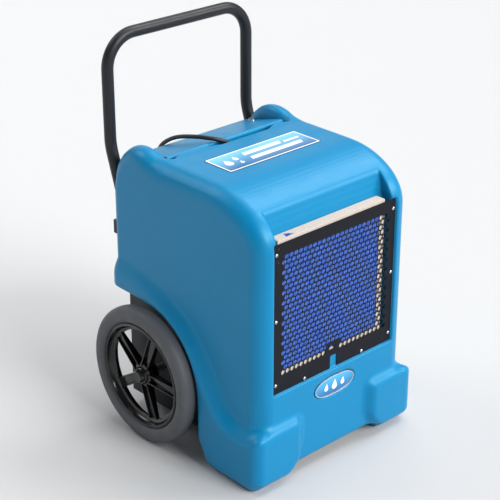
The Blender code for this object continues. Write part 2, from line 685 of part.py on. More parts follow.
# --- refrigeration, fan and pump ---------------------------------------------------------------
def build_refrigeration():
    for name, depth in (("evaporator_coil", 42.0), ("condenser_coil", 92.0)):
        core = box(name, (-146.0, 146.0), (depth, depth + 36.0), (246.0, 548.0), ALUMINIUM)
        fuse(core, *[box(f"{name}_end_{side}", span_of(side, 145.0, 149.0),
                         (depth - 3.0, depth + 39.0), (244.0, 550.0), None) for side in (-1, 1)])
    pan = box("drain_pan", (-165.0, 165.0), (50.0, 140.0), (214.0, 238.0), GREY_PLASTIC)
    cut(pan, box("pan_inside", (-161.0, 161.0), (54.0, 136.0), (218.0, 260.0), None))
    shell = [(0.0, 0.0), (50.0, 0.0), (68.0, 12.0), (72.0, 30.0), (72.0, 120.0), (69.0, 124.0),
             (69.0, 168.0), (60.0, 190.0), (34.0, 204.0), (0.0, 208.0)]
    turned("compressor", shell, (-70.0, 222.0, 50.0), (0, 0, 1), BLACK_STEEL, steps=28)
    tank = [(0.0, 0.0), (20.0, 2.0), (28.0, 12.0), (28.0, 118.0), (20.0, 128.0), (0.0, 130.0)]
    turned("accumulator", tank, (52.0, 196.0, 60.0), (0, 0, 1), BLACK_STEEL, steps=20)
    drier = [(0.0, 0.0), (5.0, 0.0), (13.0, 10.0), (13.0, 70.0), (5.0, 80.0), (0.0, 80.0)]
    turned("filter_drier", drier, (124.0, 172.0, 250.0), (0, 0, 1), COPPER, steps=16)
    pipe("suction_tube", [(52.0, 196.0, 190.5), (52.0, 196.0, 262.0), (49.0, 193.0, 284.0),
                          (38.0, 186.0, 300.0), (20.0, 178.0, 306.0), (-60.0, 160.0, 306.0),
                          (-130.0, 150.0, 306.0), (-160.0, 142.0, 305.0), (-180.0, 120.0, 301.0),
                          (-186.0, 92.0, 297.0), (-182.0, 74.0, 296.0), (-171.0, 62.0, 296.0),
                          (-160.0, 60.0, 296.0), (-149.6, 60.0, 296.0)], 7.0, COPPER)
    pipe("discharge_tube", [(-92.0, 232.0, 256.6), (-92.0, 232.0, 340.0), (-96.0, 228.0, 400.0),
                            (-112.0, 208.0, 456.0), (-142.0, 178.0, 492.0), (-172.0, 154.0, 502.0),
                            (-186.0, 138.0, 502.0), (-187.0, 122.0, 501.0), (-178.0, 112.0, 500.0),
                            (-166.0, 110.0, 500.0), (-149.6, 110.0, 500.0)], 5.0, COPPER)


def build_fan():
    z = FAN_HEIGHT
    ring = [(FAN_RADIUS + 3.0, 0.0), (FAN_RADIUS + 6.0, 0.0), (FAN_RADIUS + 9.0, -70.0),
            (FAN_RADIUS + 3.0, -60.0)]
    turned("fan_shroud", ring, (0.0, PANEL_DEPTH - GAP, z), (0, 1, 0), GREY_PLASTIC, steps=32)
    motor = rod("fan_motor", (0.0, 270.0, z), (0.0, 338.0, z), MOTOR_RADIUS, BLACK_STEEL,
                sides=28)
    fuse(motor, rod("motor_nose", (0.0, 337.0, z), (0.0, 345.0, z), 18.0, None, sides=20),
         rod("motor_shaft", (0.0, 340.0, z), (0.0, 388.0, z), 4.0, None, sides=24))
    strap = box("motor_bracket", (-104.0, 104.0), (300.0, 303.0), (z - 12.0, z + 12.0), ZINC)
    feet = [box(f"bracket_foot_{side}", span_of(side, 98.0, 112.0), (300.0, 341.5),
                (z - 12.0, z + 12.0), None) for side in (-1, 1)]
    plate = box("bracket_plate", (-50.0, 50.0), (300.0, 303.0), (z - 50.0, z + 50.0), None)
    fuse(strap, *feet, plate)
    cut(strap, rod("bracket_bore", (0.0, 280.0, z), (0.0, 320.0, z), MOTOR_RADIUS + GAP, None, sides=28))

    hub = rod("fan_blade", (0.0, 356.0, z), (0.0, 392.0, z), 27.0, BLACK_PLASTIC, sides=24)
    for index in range(5):
        blade = box(f"blade_{index}", (-26.0, 26.0), (-1.6, 1.6), (20.0, FAN_RADIUS - 3.0), None)
        twist = Matrix.Rotation(radians(32.0), 4, "Z")
        spin = Matrix.Rotation(2 * pi * index / 5, 4, "Y")
        home = Matrix.Translation(at(0.0, 0.0, 0.0))
        blade.data.transform(home.inverted())
        blade.data.transform(Matrix.Translation(at(0.0, FAN_DEPTH, z)) @ spin @ twist)
        fuse(hub, blade)
    cut(hub, rod("fan_bore", (0.0, 350.0, z), (0.0, 389.0, z), 4.3, None, sides=24))


def build_pump():
    tank = box("pump_tank", (64.0, 160.0), (346.0, 430.0), (40.0, 118.0), GREY_PLASTIC)
    cut(tank, box("pump_inside", (67.0, 157.0), (349.0, 427.0), (43.0, 130.0), None))
    lid = box("pump_head", (64.0, 160.0), (346.0, 430.0), (118.0 + GAP, 122.0), BLACK_PLASTIC)
    fuse(lid, rod("pump_motor", (88.0, PUMP_DEPTH, 121.0), (88.0, PUMP_DEPTH, 178.0), 24.0, None),
         rod("pump_stem", (88.0, PUMP_DEPTH, 119.0), (88.0, PUMP_DEPTH, 50.0), 6.0, None, sides=12))
    cut(lid, rod("float_guide", (130.0, PUMP_DEPTH, 110.0), (130.0, PUMP_DEPTH, 130.0), 3.4, None,
                 sides=12))
    float_ball = rod("pump_float", (130.0, PUMP_DEPTH, 46.0), (130.0, PUMP_DEPTH, 64.0), 17.0,
                     BLACK_PLASTIC)
    fuse(float_ball, rod("float_stem", (130.0, PUMP_DEPTH, 60.0), (130.0, PUMP_DEPTH, 140.0), 2.6,
                         None, sides=12))
    fitting = rod("drain_connector", drain_place(446.3), drain_place(456.0), 14.0, BRASS, sides=6)
    fuse(fitting, rod("fitting_nose", drain_place(455.0), drain_place(476.0), 10.0, None),
         rod("fitting_tail", drain_place(447.0), drain_place(432.0), 9.0, None))
    cut(fitting, rod("fitting_bore", drain_place(440.0), drain_place(490.0), 6.5, None))
    pipe("drain_tube", [(88.0, 384.0, 178.4), (88.0, 384.0, 192.0), (80.0, 384.0, 206.0),
                        (60.0, 384.0, 212.0), (-60.0, 384.0, 212.0), (-100.0, 386.0, 204.0),
                        (-118.0, 392.0, 180.0), (-118.0, 396.0, 130.0), (-118.0, 404.0, 102.0),
                        (-118.0, 418.0, 92.5), (-118.0, 431.6, 92.0)], 5.0, GREY_PLASTIC)


def build_electrics():
    case = box("electrical_box", (108.0, 200.0), (196.0, 262.0), (340.0, 480.0), ZINC)
    round_edges(case, 2.0, 1)


# --- wheels ------------------------------------------------------------------------------------
def build_wheels():
    def wheel(side, name):
        centre = (side * WHEEL_X, AXLE_DEPTH, WHEEL_RADIUS)
        outward = (side, 0, 0)
        mid = WHEEL_RADIUS - TYRE_RADIUS
        section = [(max(mid + TYRE_RADIUS * cos(radians(turn)), RIM_RADIUS + 0.5),
                    TYRE_RADIUS * sin(radians(turn))) for turn in range(135, -136, -30)]
        turned(f"tyre_{name}", section, centre, outward, RUBBER, steps=36)

        rim_profile = [(RIM_RADIUS, -13.5), (RIM_RADIUS, 13.5), (113.0, 15.5), (105.0, 12.0),
                       (105.0, -12.0), (113.0, -15.5)]
        rim = turned(f"rim_{name}", rim_profile[::-1], centre, outward, BLACK_PLASTIC, steps=32)
        hub_start = (side * (WHEEL_X - 20.0), AXLE_DEPTH, WHEEL_RADIUS)
        hub_end = (side * (WHEEL_X + 14.0), AXLE_DEPTH, WHEEL_RADIUS)
        fuse(rim, rod(f"hub_{name}", hub_start, hub_end, 27.0, None, sides=24, end_radius=23.0))
        for index in range(5):
            spoke = box(f"spoke_{name}_{index}", (-9.0, 9.0), (-10.0, 10.0), (20.0, 107.0), None)
            for vert in spoke.data.vertices:
                reach = (vert.co.z / MM - 20.0) / 87.0
                vert.co.y = at(0, (vert.co.y / MM - GRILLE_FACE_Y) * (1.15 - 0.25 * reach), 0).y
            spoke.data.transform(Matrix.Translation(at(0.0, 0.0, 0.0)).inverted())
            spin = Matrix.Rotation(side * radians(-72.0 * index - 20.0), 4, "X")
            spoke.data.transform(Matrix.Translation(at(side * (WHEEL_X + 1.0), AXLE_DEPTH,
                                                       WHEEL_RADIUS)) @ spin)
            fuse(rim, spoke)
        cut(rim, rod(f"hub_bore_{name}", (side * 200.0, AXLE_DEPTH, WHEEL_RADIUS),
                     (side * 300.0, AXLE_DEPTH, WHEEL_RADIUS), 12.0, None, sides=24))
        bush = rod(f"wheel_bush_{name}", hub_start, (side * (WHEEL_X + 12.5), AXLE_DEPTH, WHEEL_RADIUS),
                   12.0 - GAP, GREY_PLASTIC, sides=24)
        cut(bush, rod(f"bush_bore_{name}", (side * 200.0, AXLE_DEPTH, WHEEL_RADIUS),
                      (side * 300.0, AXLE_DEPTH, WHEEL_RADIUS), AXLE_RADIUS + GAP, None, sides=16))
        cap = rod(f"axle_cap_{name}", (side * (WHEEL_X + 14.5), AXLE_DEPTH, WHEEL_RADIUS),
                  (side * (WHEEL_X + 21.5), AXLE_DEPTH, WHEEL_RADIUS), 15.0, BLACK_PLASTIC, sides=20,
                  end_radius=12.0)
        cut(cap, rod(f"cap_bore_{name}", (side * (WHEEL_X + 10.0), AXLE_DEPTH, WHEEL_RADIUS),
                     (side * 261.4, AXLE_DEPTH, WHEEL_RADIUS), AXLE_RADIUS + GAP, None, sides=16))

    mirrored(wheel, "left", "right")


# --- filter ------------------------------------------------------------------------------------
def build_filter():
    """Card-framed air filter that slides up out of the slot behind the grille."""
    border, lip = 14.0, 2.0
    frame = box("filter_frame", (FILTER_LEFT, FILTER_RIGHT), (FILTER_FRONT, FILTER_BACK),
                (FILTER_LOW, FILTER_HIGH), CARD)
    inner_x = (FILTER_LEFT + lip, FILTER_RIGHT - lip)
    inner_z = (FILTER_LOW + lip, FILTER_HIGH - lip)
    cut(frame,
        box("filter_room", inner_x, (FILTER_FRONT + lip, FILTER_BACK - lip), inner_z, None),
        box("filter_window", (FILTER_LEFT + border, FILTER_RIGHT - border),
            (FILTER_FRONT - 5.0, FILTER_BACK + 5.0), (FILTER_LOW + border, FILTER_HIGH - border),
            None))
    box("filter_media", (inner_x[0] + GAP, inner_x[1] - GAP),
        (FILTER_FRONT + lip + GAP, FILTER_BACK - lip - GAP), (inner_z[0] + GAP, inner_z[1] - GAP),
        MEDIA)


# --- cord --------------------------------------------------------------------------------------
CORD_ROUTE = [(50.0, 309.5, 605.5), (36.0, 309.5, 605.5), (20.0, 309.5, 607.0), (3.0, 309.5, 613.5),
              (-12.0, 310.5, 621.5), (-26.0, 314.0, 628.0), (-38.0, 321.5, 632.0),
              (-47.0, 333.0, 633.0), (-53.0, 348.0, 632.5), (-57.0, 366.0, 629.5),
              (-60.0, 388.0, 624.5), (-62.0, 411.0, 617.0), (-64.0, 434.0, 605.5),
              (-66.0, 455.0, 589.5), (-67.5, 469.0, 568.0), (-68.0, 476.0, 542.0),
              (-67.5, 478.5, 510.0), (-66.5, 479.5, 460.0), (-65.5, 480.0, 400.0),
              (-64.5, 480.0, 330.0), (-63.0, 480.0, 260.0), (-61.5, 480.0, 190.0),
              (-60.5, 480.0, 130.0), (-60.0, 480.0, 84.0), (-59.5, 480.5, 52.0),
              (-55.0, 484.0, 28.0), (-42.0, 494.0, 11.0), (-23.0, 508.0, 5.2), (0.0, 525.0, 5.0),
              (22.0, 541.5, 5.0), (38.0, 559.0, 5.0), (45.0, 572.0, 5.0), (46.5, 583.0, 5.0)]


def smooth_route(knots, spacing):
    """Catmull-Rom curve through the knots, sampled about every `spacing` millimetres."""
    points = [Vector(knot) for knot in knots]
    ends = [points[0] * 2 - points[1]] + points + [points[-1] * 2 - points[-2]]
    fine = []
    for before, start, end, after in zip(ends, ends[1:], ends[2:], ends[3:]):
        for step in range(12):
            t = step / 12
            fine.append(0.5 * ((2 * start) + (end - before) * t
                               + (2 * before - 5 * start + 4 * end - after) * t * t
                               + (3 * start - before - 3 * end + after) * t ** 3))
    fine.append(points[-1])
    chosen, run = [fine[0]], 0.0
    for first, second in zip(fine, fine[1:]):
        run += (second - first).length
        if run >= spacing:
            chosen.append(second)
            run = 0.0
    chosen[-1] = fine[-1]
    return [tuple(point) for point in chosen]


def build_cord():
    gland = rod("cord_gland", (78.0, 309.5, 605.5), (50.3, 309.5, 605.5), 6.2, BLACK_PLASTIC,
                sides=16, end_radius=5.4)
    fuse(gland, rod("gland_nut", (84.0, 309.5, 605.5), (76.0, 309.5, 605.5), 6.3, None, sides=6))
    pipe("power_cord", smooth_route(CORD_ROUTE, 22.0), CORD_RADIUS, CORD, resolution=2)
    x, depth = COIL_CENTRE
    ring = [(COIL_INNER, COIL_LOW),
            (COIL_OUTER - 6.0, COIL_LOW), (COIL_OUTER, COIL_LOW + 6.0),
            (COIL_OUTER, COIL_HIGH - 8.0), (COIL_OUTER - 8.0, COIL_HIGH),
            (COIL_INNER, COIL_HIGH)]
    turned("cord_coil", ring[::-1], (x, depth, 0.0), (0, 0, 1), CORD, steps=28)
    tie_depth = (depth - COIL_OUTER - 1.8, depth - COIL_INNER + 3.0)
    tie = box("cord_tie", (x - 7.0, x + 7.0), tie_depth, (0.2, COIL_HIGH + 1.6), BLACK_PLASTIC)
    cut(tie, box("tie_inside", (x - 20.0, x + 20.0), (tie_depth[0] + 1.2, tie_depth[1] - 1.2),
                 (0.2 + 1.2, COIL_HIGH + 0.4), None))

    plug_x, plug_height = x + COIL_OUTER + GAP + CORD_RADIUS, 15.0
    start = depth - 44.0
    tail = rod("plug_tail", (plug_x, depth, plug_height), (plug_x, start - 10.0, plug_height),
               CORD_RADIUS, None, sides=12)
    relief = rod("plug_relief", (plug_x, start, plug_height), (plug_x, start - 24.0, plug_height),
                 5.6, None, sides=16, end_radius=8.5)
    grip = box("power_plug", (plug_x - 14.0, plug_x + 14.0), (start - 58.0, start - 23.0),
               (plug_height - 13.5, plug_height + 13.5), CORD)
    round_edges(grip, 5.0, 2)
    fuse(grip, relief, tail)
    for index, offset in enumerate((-6.3, 6.3)):
        fuse(grip, box(f"plug_blade_{index}", (plug_x + offset - 0.8, plug_x + offset + 0.8),
                       (start - 76.0, start - 56.0), (plug_height - 7.0, plug_height - 0.6), None))
    fuse(grip, rod("earth_pin", (plug_x, start - 56.0, plug_height + 7.5),
                   (plug_x, start - 77.0, plug_height + 7.5), 2.4, None, sides=12))


build_housing()
build_deck()
build_grille()
build_trim()
build_handle()
build_chassis()
build_rear()
build_controls()
build_refrigeration()
build_fan()
build_pump()
build_electrics()
build_wheels()
build_filter()
build_cord()

for part in PARTS.objects:
    part.data.shade_smooth()
    part.data.set_sharp_from_angle(angle=radians(35))
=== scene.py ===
"""Looks of a wheeled commercial dehumidifier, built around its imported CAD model.

Lengths are millimetres and become metres in the helpers. A "depth" is the distance back from the
face of the inlet grille, as in the CAD source, and a "height" is the distance above the floor.
"""
import json
from math import cos, pi, radians, sin

import bmesh
import bpy
import numpy as np
from mathutils import Matrix, Vector


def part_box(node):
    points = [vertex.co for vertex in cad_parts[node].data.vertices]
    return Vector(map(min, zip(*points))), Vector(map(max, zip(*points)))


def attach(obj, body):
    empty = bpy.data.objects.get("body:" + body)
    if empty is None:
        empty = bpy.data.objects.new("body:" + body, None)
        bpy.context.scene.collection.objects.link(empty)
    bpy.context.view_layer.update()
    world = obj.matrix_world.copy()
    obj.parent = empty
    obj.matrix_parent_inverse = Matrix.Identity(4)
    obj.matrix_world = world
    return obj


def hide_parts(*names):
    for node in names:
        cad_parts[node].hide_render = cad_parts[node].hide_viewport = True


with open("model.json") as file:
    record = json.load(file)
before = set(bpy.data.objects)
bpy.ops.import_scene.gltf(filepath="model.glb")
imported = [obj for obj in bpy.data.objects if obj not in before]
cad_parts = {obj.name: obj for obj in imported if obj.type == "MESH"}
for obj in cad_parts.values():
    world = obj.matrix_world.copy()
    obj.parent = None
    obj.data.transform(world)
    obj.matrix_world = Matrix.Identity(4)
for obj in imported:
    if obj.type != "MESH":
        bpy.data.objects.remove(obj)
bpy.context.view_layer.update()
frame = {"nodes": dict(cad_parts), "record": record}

MM = 0.001


def node_box(name):
    """A CAD node's lowest and highest corners as (x, depth, height) in millimetres."""
    low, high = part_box(name)
    return ((low.x / MM, low.y / MM - FACE_Y, low.z / MM),
            (high.x / MM, high.y / MM - FACE_Y, high.z / MM))


def middle_of(name):
    """Centre of a CAD node's box as (x, depth, height)."""
    return [(low + high) / 2 for low, high in zip(*node_box(name))]


FACE_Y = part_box("front_grille")[0].y / MM      # world Y of depth 0, in millimetres


def at(x, depth, height):
    """World position in metres."""
    return Vector((x, depth + FACE_Y, height)) * MM


# --- dimensions read from the frame ---
GRILLE_LOW, GRILLE_HIGH = node_box("front_grille")
FILTER_LOW, FILTER_HIGH = node_box("filter_frame")
TYRE_LOW, TYRE_HIGH = node_box("tyre_right")
HOUSING_LOW, HOUSING_HIGH = node_box("housing")
BADGE_LOW, BADGE_HIGH = node_box("front_badge")
DECK_LOW, DECK_HIGH = node_box("rear_deck")
HANDLE_HIGH = node_box("handle")[1]
GUARD_LOW, GUARD_HIGH = node_box("fan_guard")
PLUG_FRONT = node_box("power_plug")[0][1]

AXLE_DEPTH, AXLE_HEIGHT = middle_of("axle")[1:]
WHEEL_RADIUS = (TYRE_HIGH[2] - TYRE_LOW[2]) / 2
WHEEL_X = middle_of("tyre_right")[0]
FLARE_HALF = HOUSING_HIGH[0]
HOUSING_REAR = HOUSING_HIGH[1]
BADGE_CENTRE = middle_of("front_badge")[::2]
TUBE_RADIUS = 12.7                             # of the handle
LEG_X = HANDLE_HIGH[0] - TUBE_RADIUS
PLUG_X, _, PLUG_HEIGHT = middle_of("power_plug")
RELIEF_START = PLUG_FRONT + 77.0               # where the cord enters the plug


def linked(name, data):
    """A new object in the scene."""
    made = bpy.data.objects.new(name, data)
    bpy.context.scene.collection.objects.link(made)
    return made


# --- camera, floor and light ---
def make_camera():
    data = bpy.data.cameras.new("camera")
    data.lens = 105.42
    data.sensor_width = 36.0
    data.clip_end = 60.0
    camera = linked("camera", data)
    camera.location = (-1.91827, -2.03776, 1.71440)
    camera.rotation_euler = (radians(64.7813), 0.0, radians(-42.9897))
    bpy.context.scene.camera = camera
    bpy.context.scene.view_settings.view_transform = "Standard"


def make_stage():
    """Pale floor that curves up into a low wall all round."""
    profile = [(0.0, 0.0), (2.0, 0.0), (4.5, 0.0), (7.0, 0.0), (7.6, 0.08), (8.1, 0.3), (8.5, 0.75),
               (8.7, 1.4), (8.8, 2.6)]
    steps = 48
    bm = bmesh.new()
    rings = [[bm.verts.new((r * cos(2 * pi * k / steps), r * sin(2 * pi * k / steps), z))
              for k in range(steps)] for r, z in profile[1:]]
    centre = bm.verts.new((0.0, 0.0, 0.0))
    for k in range(steps):
        bm.faces.new((centre, rings[0][k], rings[0][(k + 1) % steps]))
        for low, high in zip(rings, rings[1:]):
            bm.faces.new((low[k], high[k], high[(k + 1) % steps], low[(k + 1) % steps]))
    mesh = mesh_of(bm, False)
    mesh.shade_smooth()
    floor = linked("floor", mesh)
    floor.data.materials.append(plain("floor_pale", (0.52, 0.525, 0.53), 0.9))


def soft_sun(name, direction, strength, spread):
    """Distant light coming from a direction, blurred over a spread in degrees."""
    data = bpy.data.lights.new(name, "SUN")
    data.energy = strength
    data.angle = radians(spread)
    light = linked(name, data)
    light.rotation_euler = Vector(direction).to_track_quat("Z", "Y").to_euler()


def make_lights():
    world = bpy.data.worlds.new("studio")
    world.use_nodes = True
    background = world.node_tree.nodes["Background"]
    background.inputs["Color"].default_value = (0.95, 0.97, 1.0, 1.0)
    background.inputs["Strength"].default_value = 0.14
    bpy.context.scene.world = world
    soft_sun("key", (0.12, -0.84, 0.52), 3.0, 30.0)
    soft_sun("top", (0.3, 0.1, 0.9), 1.3, 45.0)
    soft_sun("rear_fill", (0.35, 0.85, 0.4), 0.55, 50.0)
    soft_sun("lid_sheen", (0.62, -0.1, 0.75), 1.3, 30.0)
    soft_sun("front_sheen", (0.62, -0.66, 0.4), 1.4, 24.0)
    soft_sun("edge_sheen", (-0.35, 0.62, 0.7), 0.7, 24.0)


# --- materials ---
def plain(name, colour, roughness, metallic=0.0):
    made = bpy.data.materials.new(name)
    made.use_nodes = True
    shader = made.node_tree.nodes["Principled BSDF"]
    shader.inputs["Base Color"].default_value = (*colour, 1.0)
    shader.inputs["Roughness"].default_value = roughness
    shader.inputs["Metallic"].default_value = metallic
    return made


class Finish:
    """A Principled material whose colour, roughness and bump come from procedural nodes."""

    def __init__(self, name, colour, roughness, metallic=0.0, **sockets):
        self.material = plain(name, colour, roughness, metallic)
        self.tree = self.material.node_tree
        self.shader = self.tree.nodes["Principled BSDF"]
        for socket, value in sockets.items():
            self.shader.inputs[socket.replace("_", " ")].default_value = value
        self.height = None
        self.colour = colour
        coordinates = self.tree.nodes.new("ShaderNodeTexCoord")
        self.place = coordinates.outputs["Object"]

    def node(self, kind, inputs=(), **settings):
        made = self.tree.nodes.new(kind)
        for key, value in settings.items():
            setattr(made, key, value)
        for socket, value in dict(inputs).items():
            if isinstance(value, bpy.types.NodeSocket):
                self.tree.links.new(value, made.inputs[socket])
            else:
                made.inputs[socket].default_value = value
        return made

    def stretched(self, scale):
        return self.node("ShaderNodeMapping", {"Vector": self.place, "Scale": scale}).outputs[0]

    def noise(self, scale, detail=3.0, roughness=0.55, where=None):
        return self.node("ShaderNodeTexNoise", {"Vector": where or self.place, "Scale": scale,
                                                "Detail": detail, "Roughness": roughness}).outputs[0]

    def ramp(self, value, low, high, out_low=0.0, out_high=1.0):
        return self.node("ShaderNodeMapRange", {"Value": value, "From Min": low, "From Max": high,
                                                "To Min": out_low, "To Max": out_high}).outputs[0]

    def tint(self, factor, other):
        """Mixes the colour made so far towards another one by a 0 to 1 factor."""
        mix = self.node("ShaderNodeMix", {"Factor": factor}, data_type="RGBA")
        so_far = self.shader.inputs["Base Color"].links
        if so_far:
            self.tree.links.new(so_far[0].from_socket, mix.inputs[6])
        else:
            mix.inputs[6].default_value = (*self.colour, 1.0)
        mix.inputs[7].default_value = (*other, 1.0)
        self.tree.links.new(mix.outputs[2], self.shader.inputs["Base Color"])
        return self

    def vary_roughness(self, value, low, high):
        self.tree.links.new(self.ramp(value, 0.3, 0.7, low, high), self.shader.inputs["Roughness"])
        return self

    def bump(self, value, distance, strength=1.0):
        made = self.node("ShaderNodeBump", {"Height": value, "Distance": distance * MM,
                                            "Strength": strength})
        if self.height is not None:
            self.tree.links.new(self.height.outputs[0], made.inputs["Normal"])
        self.height = made
        self.tree.links.new(made.outputs[0], self.shader.inputs["Normal"])
        return self


def moulded_blue():
    """Rotomoulded polyethylene: waxy sheen, fine orange peel, faint mottling and scuffs."""
    made = Finish("housing_blue", (0.0, 0.178, 0.375), 0.4, Specular_IOR_Level=0.5,
                  Specular_Tint=(0.45, 0.85, 1.0, 1.0))
    made.tint(made.ramp(made.noise(9.0, 4.0), 0.35, 0.7, 0.0, 0.35), (0.0, 0.20, 0.41))
    made.vary_roughness(made.noise(26.0, 4.0), 0.36, 0.44)
    made.bump(made.noise(420.0, 2.0), 0.05, 0.35)
    made.bump(made.noise(55.0, 2.0), 0.22, 0.3)
    return made.material


def powder_black(name="powder_black", colour=(0.012, 0.013, 0.016), roughness=0.36, shine=0.3):
    made = Finish(name, colour, roughness, Specular_IOR_Level=shine)
    made.vary_roughness(made.noise(40.0, 3.0), roughness - 0.05, roughness + 0.08)
    made.bump(made.noise(900.0, 2.0), 0.04, 0.4)
    return made.material


def zinc():
    made = Finish("zinc", (0.62, 0.63, 0.65), 0.3, 1.0)
    made.tint(made.ramp(made.noise(60.0, 3.0), 0.4, 0.7, 0.0, 0.5), (0.50, 0.51, 0.55))
    made.vary_roughness(made.noise(150.0, 3.0), 0.24, 0.4)
    return made.material


def tyre_grey():
    made = Finish("tyre_rubber", (0.066, 0.071, 0.080), 0.6)
    made.tint(made.ramp(made.noise(14.0, 5.0), 0.4, 0.75, 0.0, 0.6), (0.080, 0.086, 0.096))
    made.vary_roughness(made.noise(30.0, 4.0), 0.5, 0.68)
    made.bump(made.noise(700.0, 3.0), 0.05, 0.5)
    return made.material


def plastic(name, colour, roughness, patches, dull, grain=None):
    """Even colour with patches of other roughness; both noises are (scale, detail), and the grain
    goes on with its bump's distance and strength."""
    made = Finish(name, colour, roughness)
    made.vary_roughness(made.noise(*patches), *dull)
    if grain is not None:
        made.bump(made.noise(*grain[:2]), *grain[2:])
    return made.material


def card():
    made = Finish("filter_card", (0.50, 0.43, 0.38), 0.85)
    made.tint(made.ramp(made.noise(240.0, 4.0), 0.4, 0.65, 0.0, 0.7), (0.60, 0.53, 0.47))
    made.bump(made.noise(900.0, 3.0), 0.1, 0.5)
    return made.material


def blue_fibre():
    """Non-woven blue filter fibre."""
    made = Finish("filter_fibre", (0.028, 0.11, 0.56), 0.9, Sheen_Weight=0.15)
    fibres = made.noise(1.0, 5.0, 0.6, made.stretched((420.0, 420.0, 90.0)))
    made.tint(made.ramp(fibres, 0.42, 0.62), (0.085, 0.22, 0.74))
    made.tint(made.ramp(made.noise(90.0, 3.0), 0.50, 0.70, 0.0, 0.4), (0.02, 0.07, 0.42))
    made.bump(fibres, 1.2, 0.7)
    return made.material


def coil_fins():
    made = Finish("coil_fins", (0.62, 0.63, 0.64), 0.38, 1.0)
    lines = made.node("ShaderNodeTexWave", {"Vector": made.place, "Scale": 160.0},
                      wave_type="BANDS", bands_direction="X").outputs[1]
    # the dark bands are painted shade in the gaps between the fins
    made.tint(made.ramp(lines, 0.2, 0.9, 1.0, 0.0), (0.10, 0.10, 0.11))
    made.bump(lines, 0.8, 0.8)
    return made.material


def metal(name, colour, roughness):
    made = Finish(name, colour, roughness, 1.0)
    made.tint(made.ramp(made.noise(70.0, 3.0), 0.4, 0.7, 0.0, 0.5),
              tuple(0.7 * channel for channel in colour))
    made.vary_roughness(made.noise(120.0, 3.0), roughness - 0.05, roughness + 0.12)
    return made.material


def printed(name, colour):
    return plastic(name, colour, 0.3, (80.0, 2.0), (0.26, 0.36))


def shaded_print(name, dark, light, axis, span):
    """Printed panel that fades from dark to light along a world axis."""
    made = Finish(name, dark, 0.28)
    parts = made.node("ShaderNodeSeparateXYZ", {"Vector": made.place})
    made.tint(made.ramp(parts.outputs["XYZ".index(axis)], *span), light)
    return made.material


BLUE = moulded_blue()
BLACK = powder_black()
ZINC = zinc()
RUBBER = tyre_grey()
GLOSS = plastic("gloss_black", (0.004, 0.004, 0.005), 0.2, (50.0, 3.0), (0.14, 0.3),
                (260.0, 2.0, 0.04, 0.3))
MATTE = powder_black("matte_black", (0.011, 0.011, 0.012), 0.5)
GREY = plastic("grey_plastic", (0.20, 0.21, 0.22), 0.5, (60.0, 3.0), (0.45, 0.6),
               (600.0, 2.0, 0.05, 0.4))
CARD = card()
FIBRE = blue_fibre()
FINS = coil_fins()
COPPER = metal("copper", (0.72, 0.34, 0.20), 0.3)
BRASS = metal("brass", (0.70, 0.52, 0.22), 0.3)
RED = plastic("red_plastic", (0.45, 0.015, 0.012), 0.28, (80.0, 2.0), (0.22, 0.36))
JACKET = plastic("cord_jacket", (0.012, 0.012, 0.014), 0.45, (90.0, 3.0), (0.38, 0.55),
                 (500.0, 2.0, 0.05, 0.4))
PLATE = powder_black("plate_black", (0.007, 0.008, 0.012), 0.5, 0.12)
SILVER = metal("silver_rim", (0.75, 0.77, 0.80), 0.25)
INK = printed("ink_black", (0.010, 0.011, 0.014))
WHITE_INK = printed("ink_white", (0.82, 0.84, 0.86))
PRINT_BLUE = printed("print_blue", (0.02, 0.045, 0.25))
LABEL_BLUE = shaded_print("label_blue", (0.012, 0.10, 0.28), (0.16, 0.52, 0.80), "Y", (-0.055, 0.015))
BADGE_BLUE = shaded_print("badge_blue", (0.012, 0.10, 0.30), (0.06, 0.40, 0.70), "Z", (0.152, 0.190))


# --- mesh helpers ---
def piece(name, mesh, finish, body="root", smooth_angle=35.0):
    """Makes a shown piece that rides on a CAD body."""
    mesh.name = name
    made = linked(name, mesh)
    mesh.materials.clear()
    mesh.materials.append(finish)
    if smooth_angle is not None:
        mesh.shade_smooth()
        mesh.set_sharp_from_angle(angle=radians(smooth_angle))
    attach(made, body)
    return made


def mesh_of(bm, faces_out=True):
    """Turns a bmesh into a mesh."""
    if faces_out:
        bmesh.ops.recalc_face_normals(bm, faces=bm.faces)
    mesh = bpy.data.meshes.new("mesh")
    bm.to_mesh(mesh)
    bm.free()
    return mesh


def welded(mesh, distance):
    """A bmesh of a mesh with its doubled vertices joined."""
    bm = bmesh.new()
    bm.from_mesh(mesh)
    bmesh.ops.remove_doubles(bm, verts=bm.verts, dist=distance)
    return bm


def evaluated(made):
    """A new mesh of an object with its modifiers, in place of the object."""
    bpy.context.view_layer.update()
    shown = made.evaluated_get(bpy.context.evaluated_depsgraph_get())
    mesh = bpy.data.meshes.new_from_object(shown)
    mesh.transform(made.matrix_world)
    bpy.data.objects.remove(made, do_unlink=True)
    return mesh


def bevelled(mesh, width, segments=3, angle=35.0):
    made = linked("bevel", mesh)
    step = made.modifiers.new("bevel", "BEVEL")
    step.width = width * MM
    step.segments = segments
    step.limit_method = "ANGLE"
    step.angle_limit = radians(angle)
    return evaluated(made)


def merged(*meshes):
    """One mesh of several, side by side."""
    bm = bmesh.new()
    for mesh in meshes:
        bm.from_mesh(mesh)
    return mesh_of(bm, False)


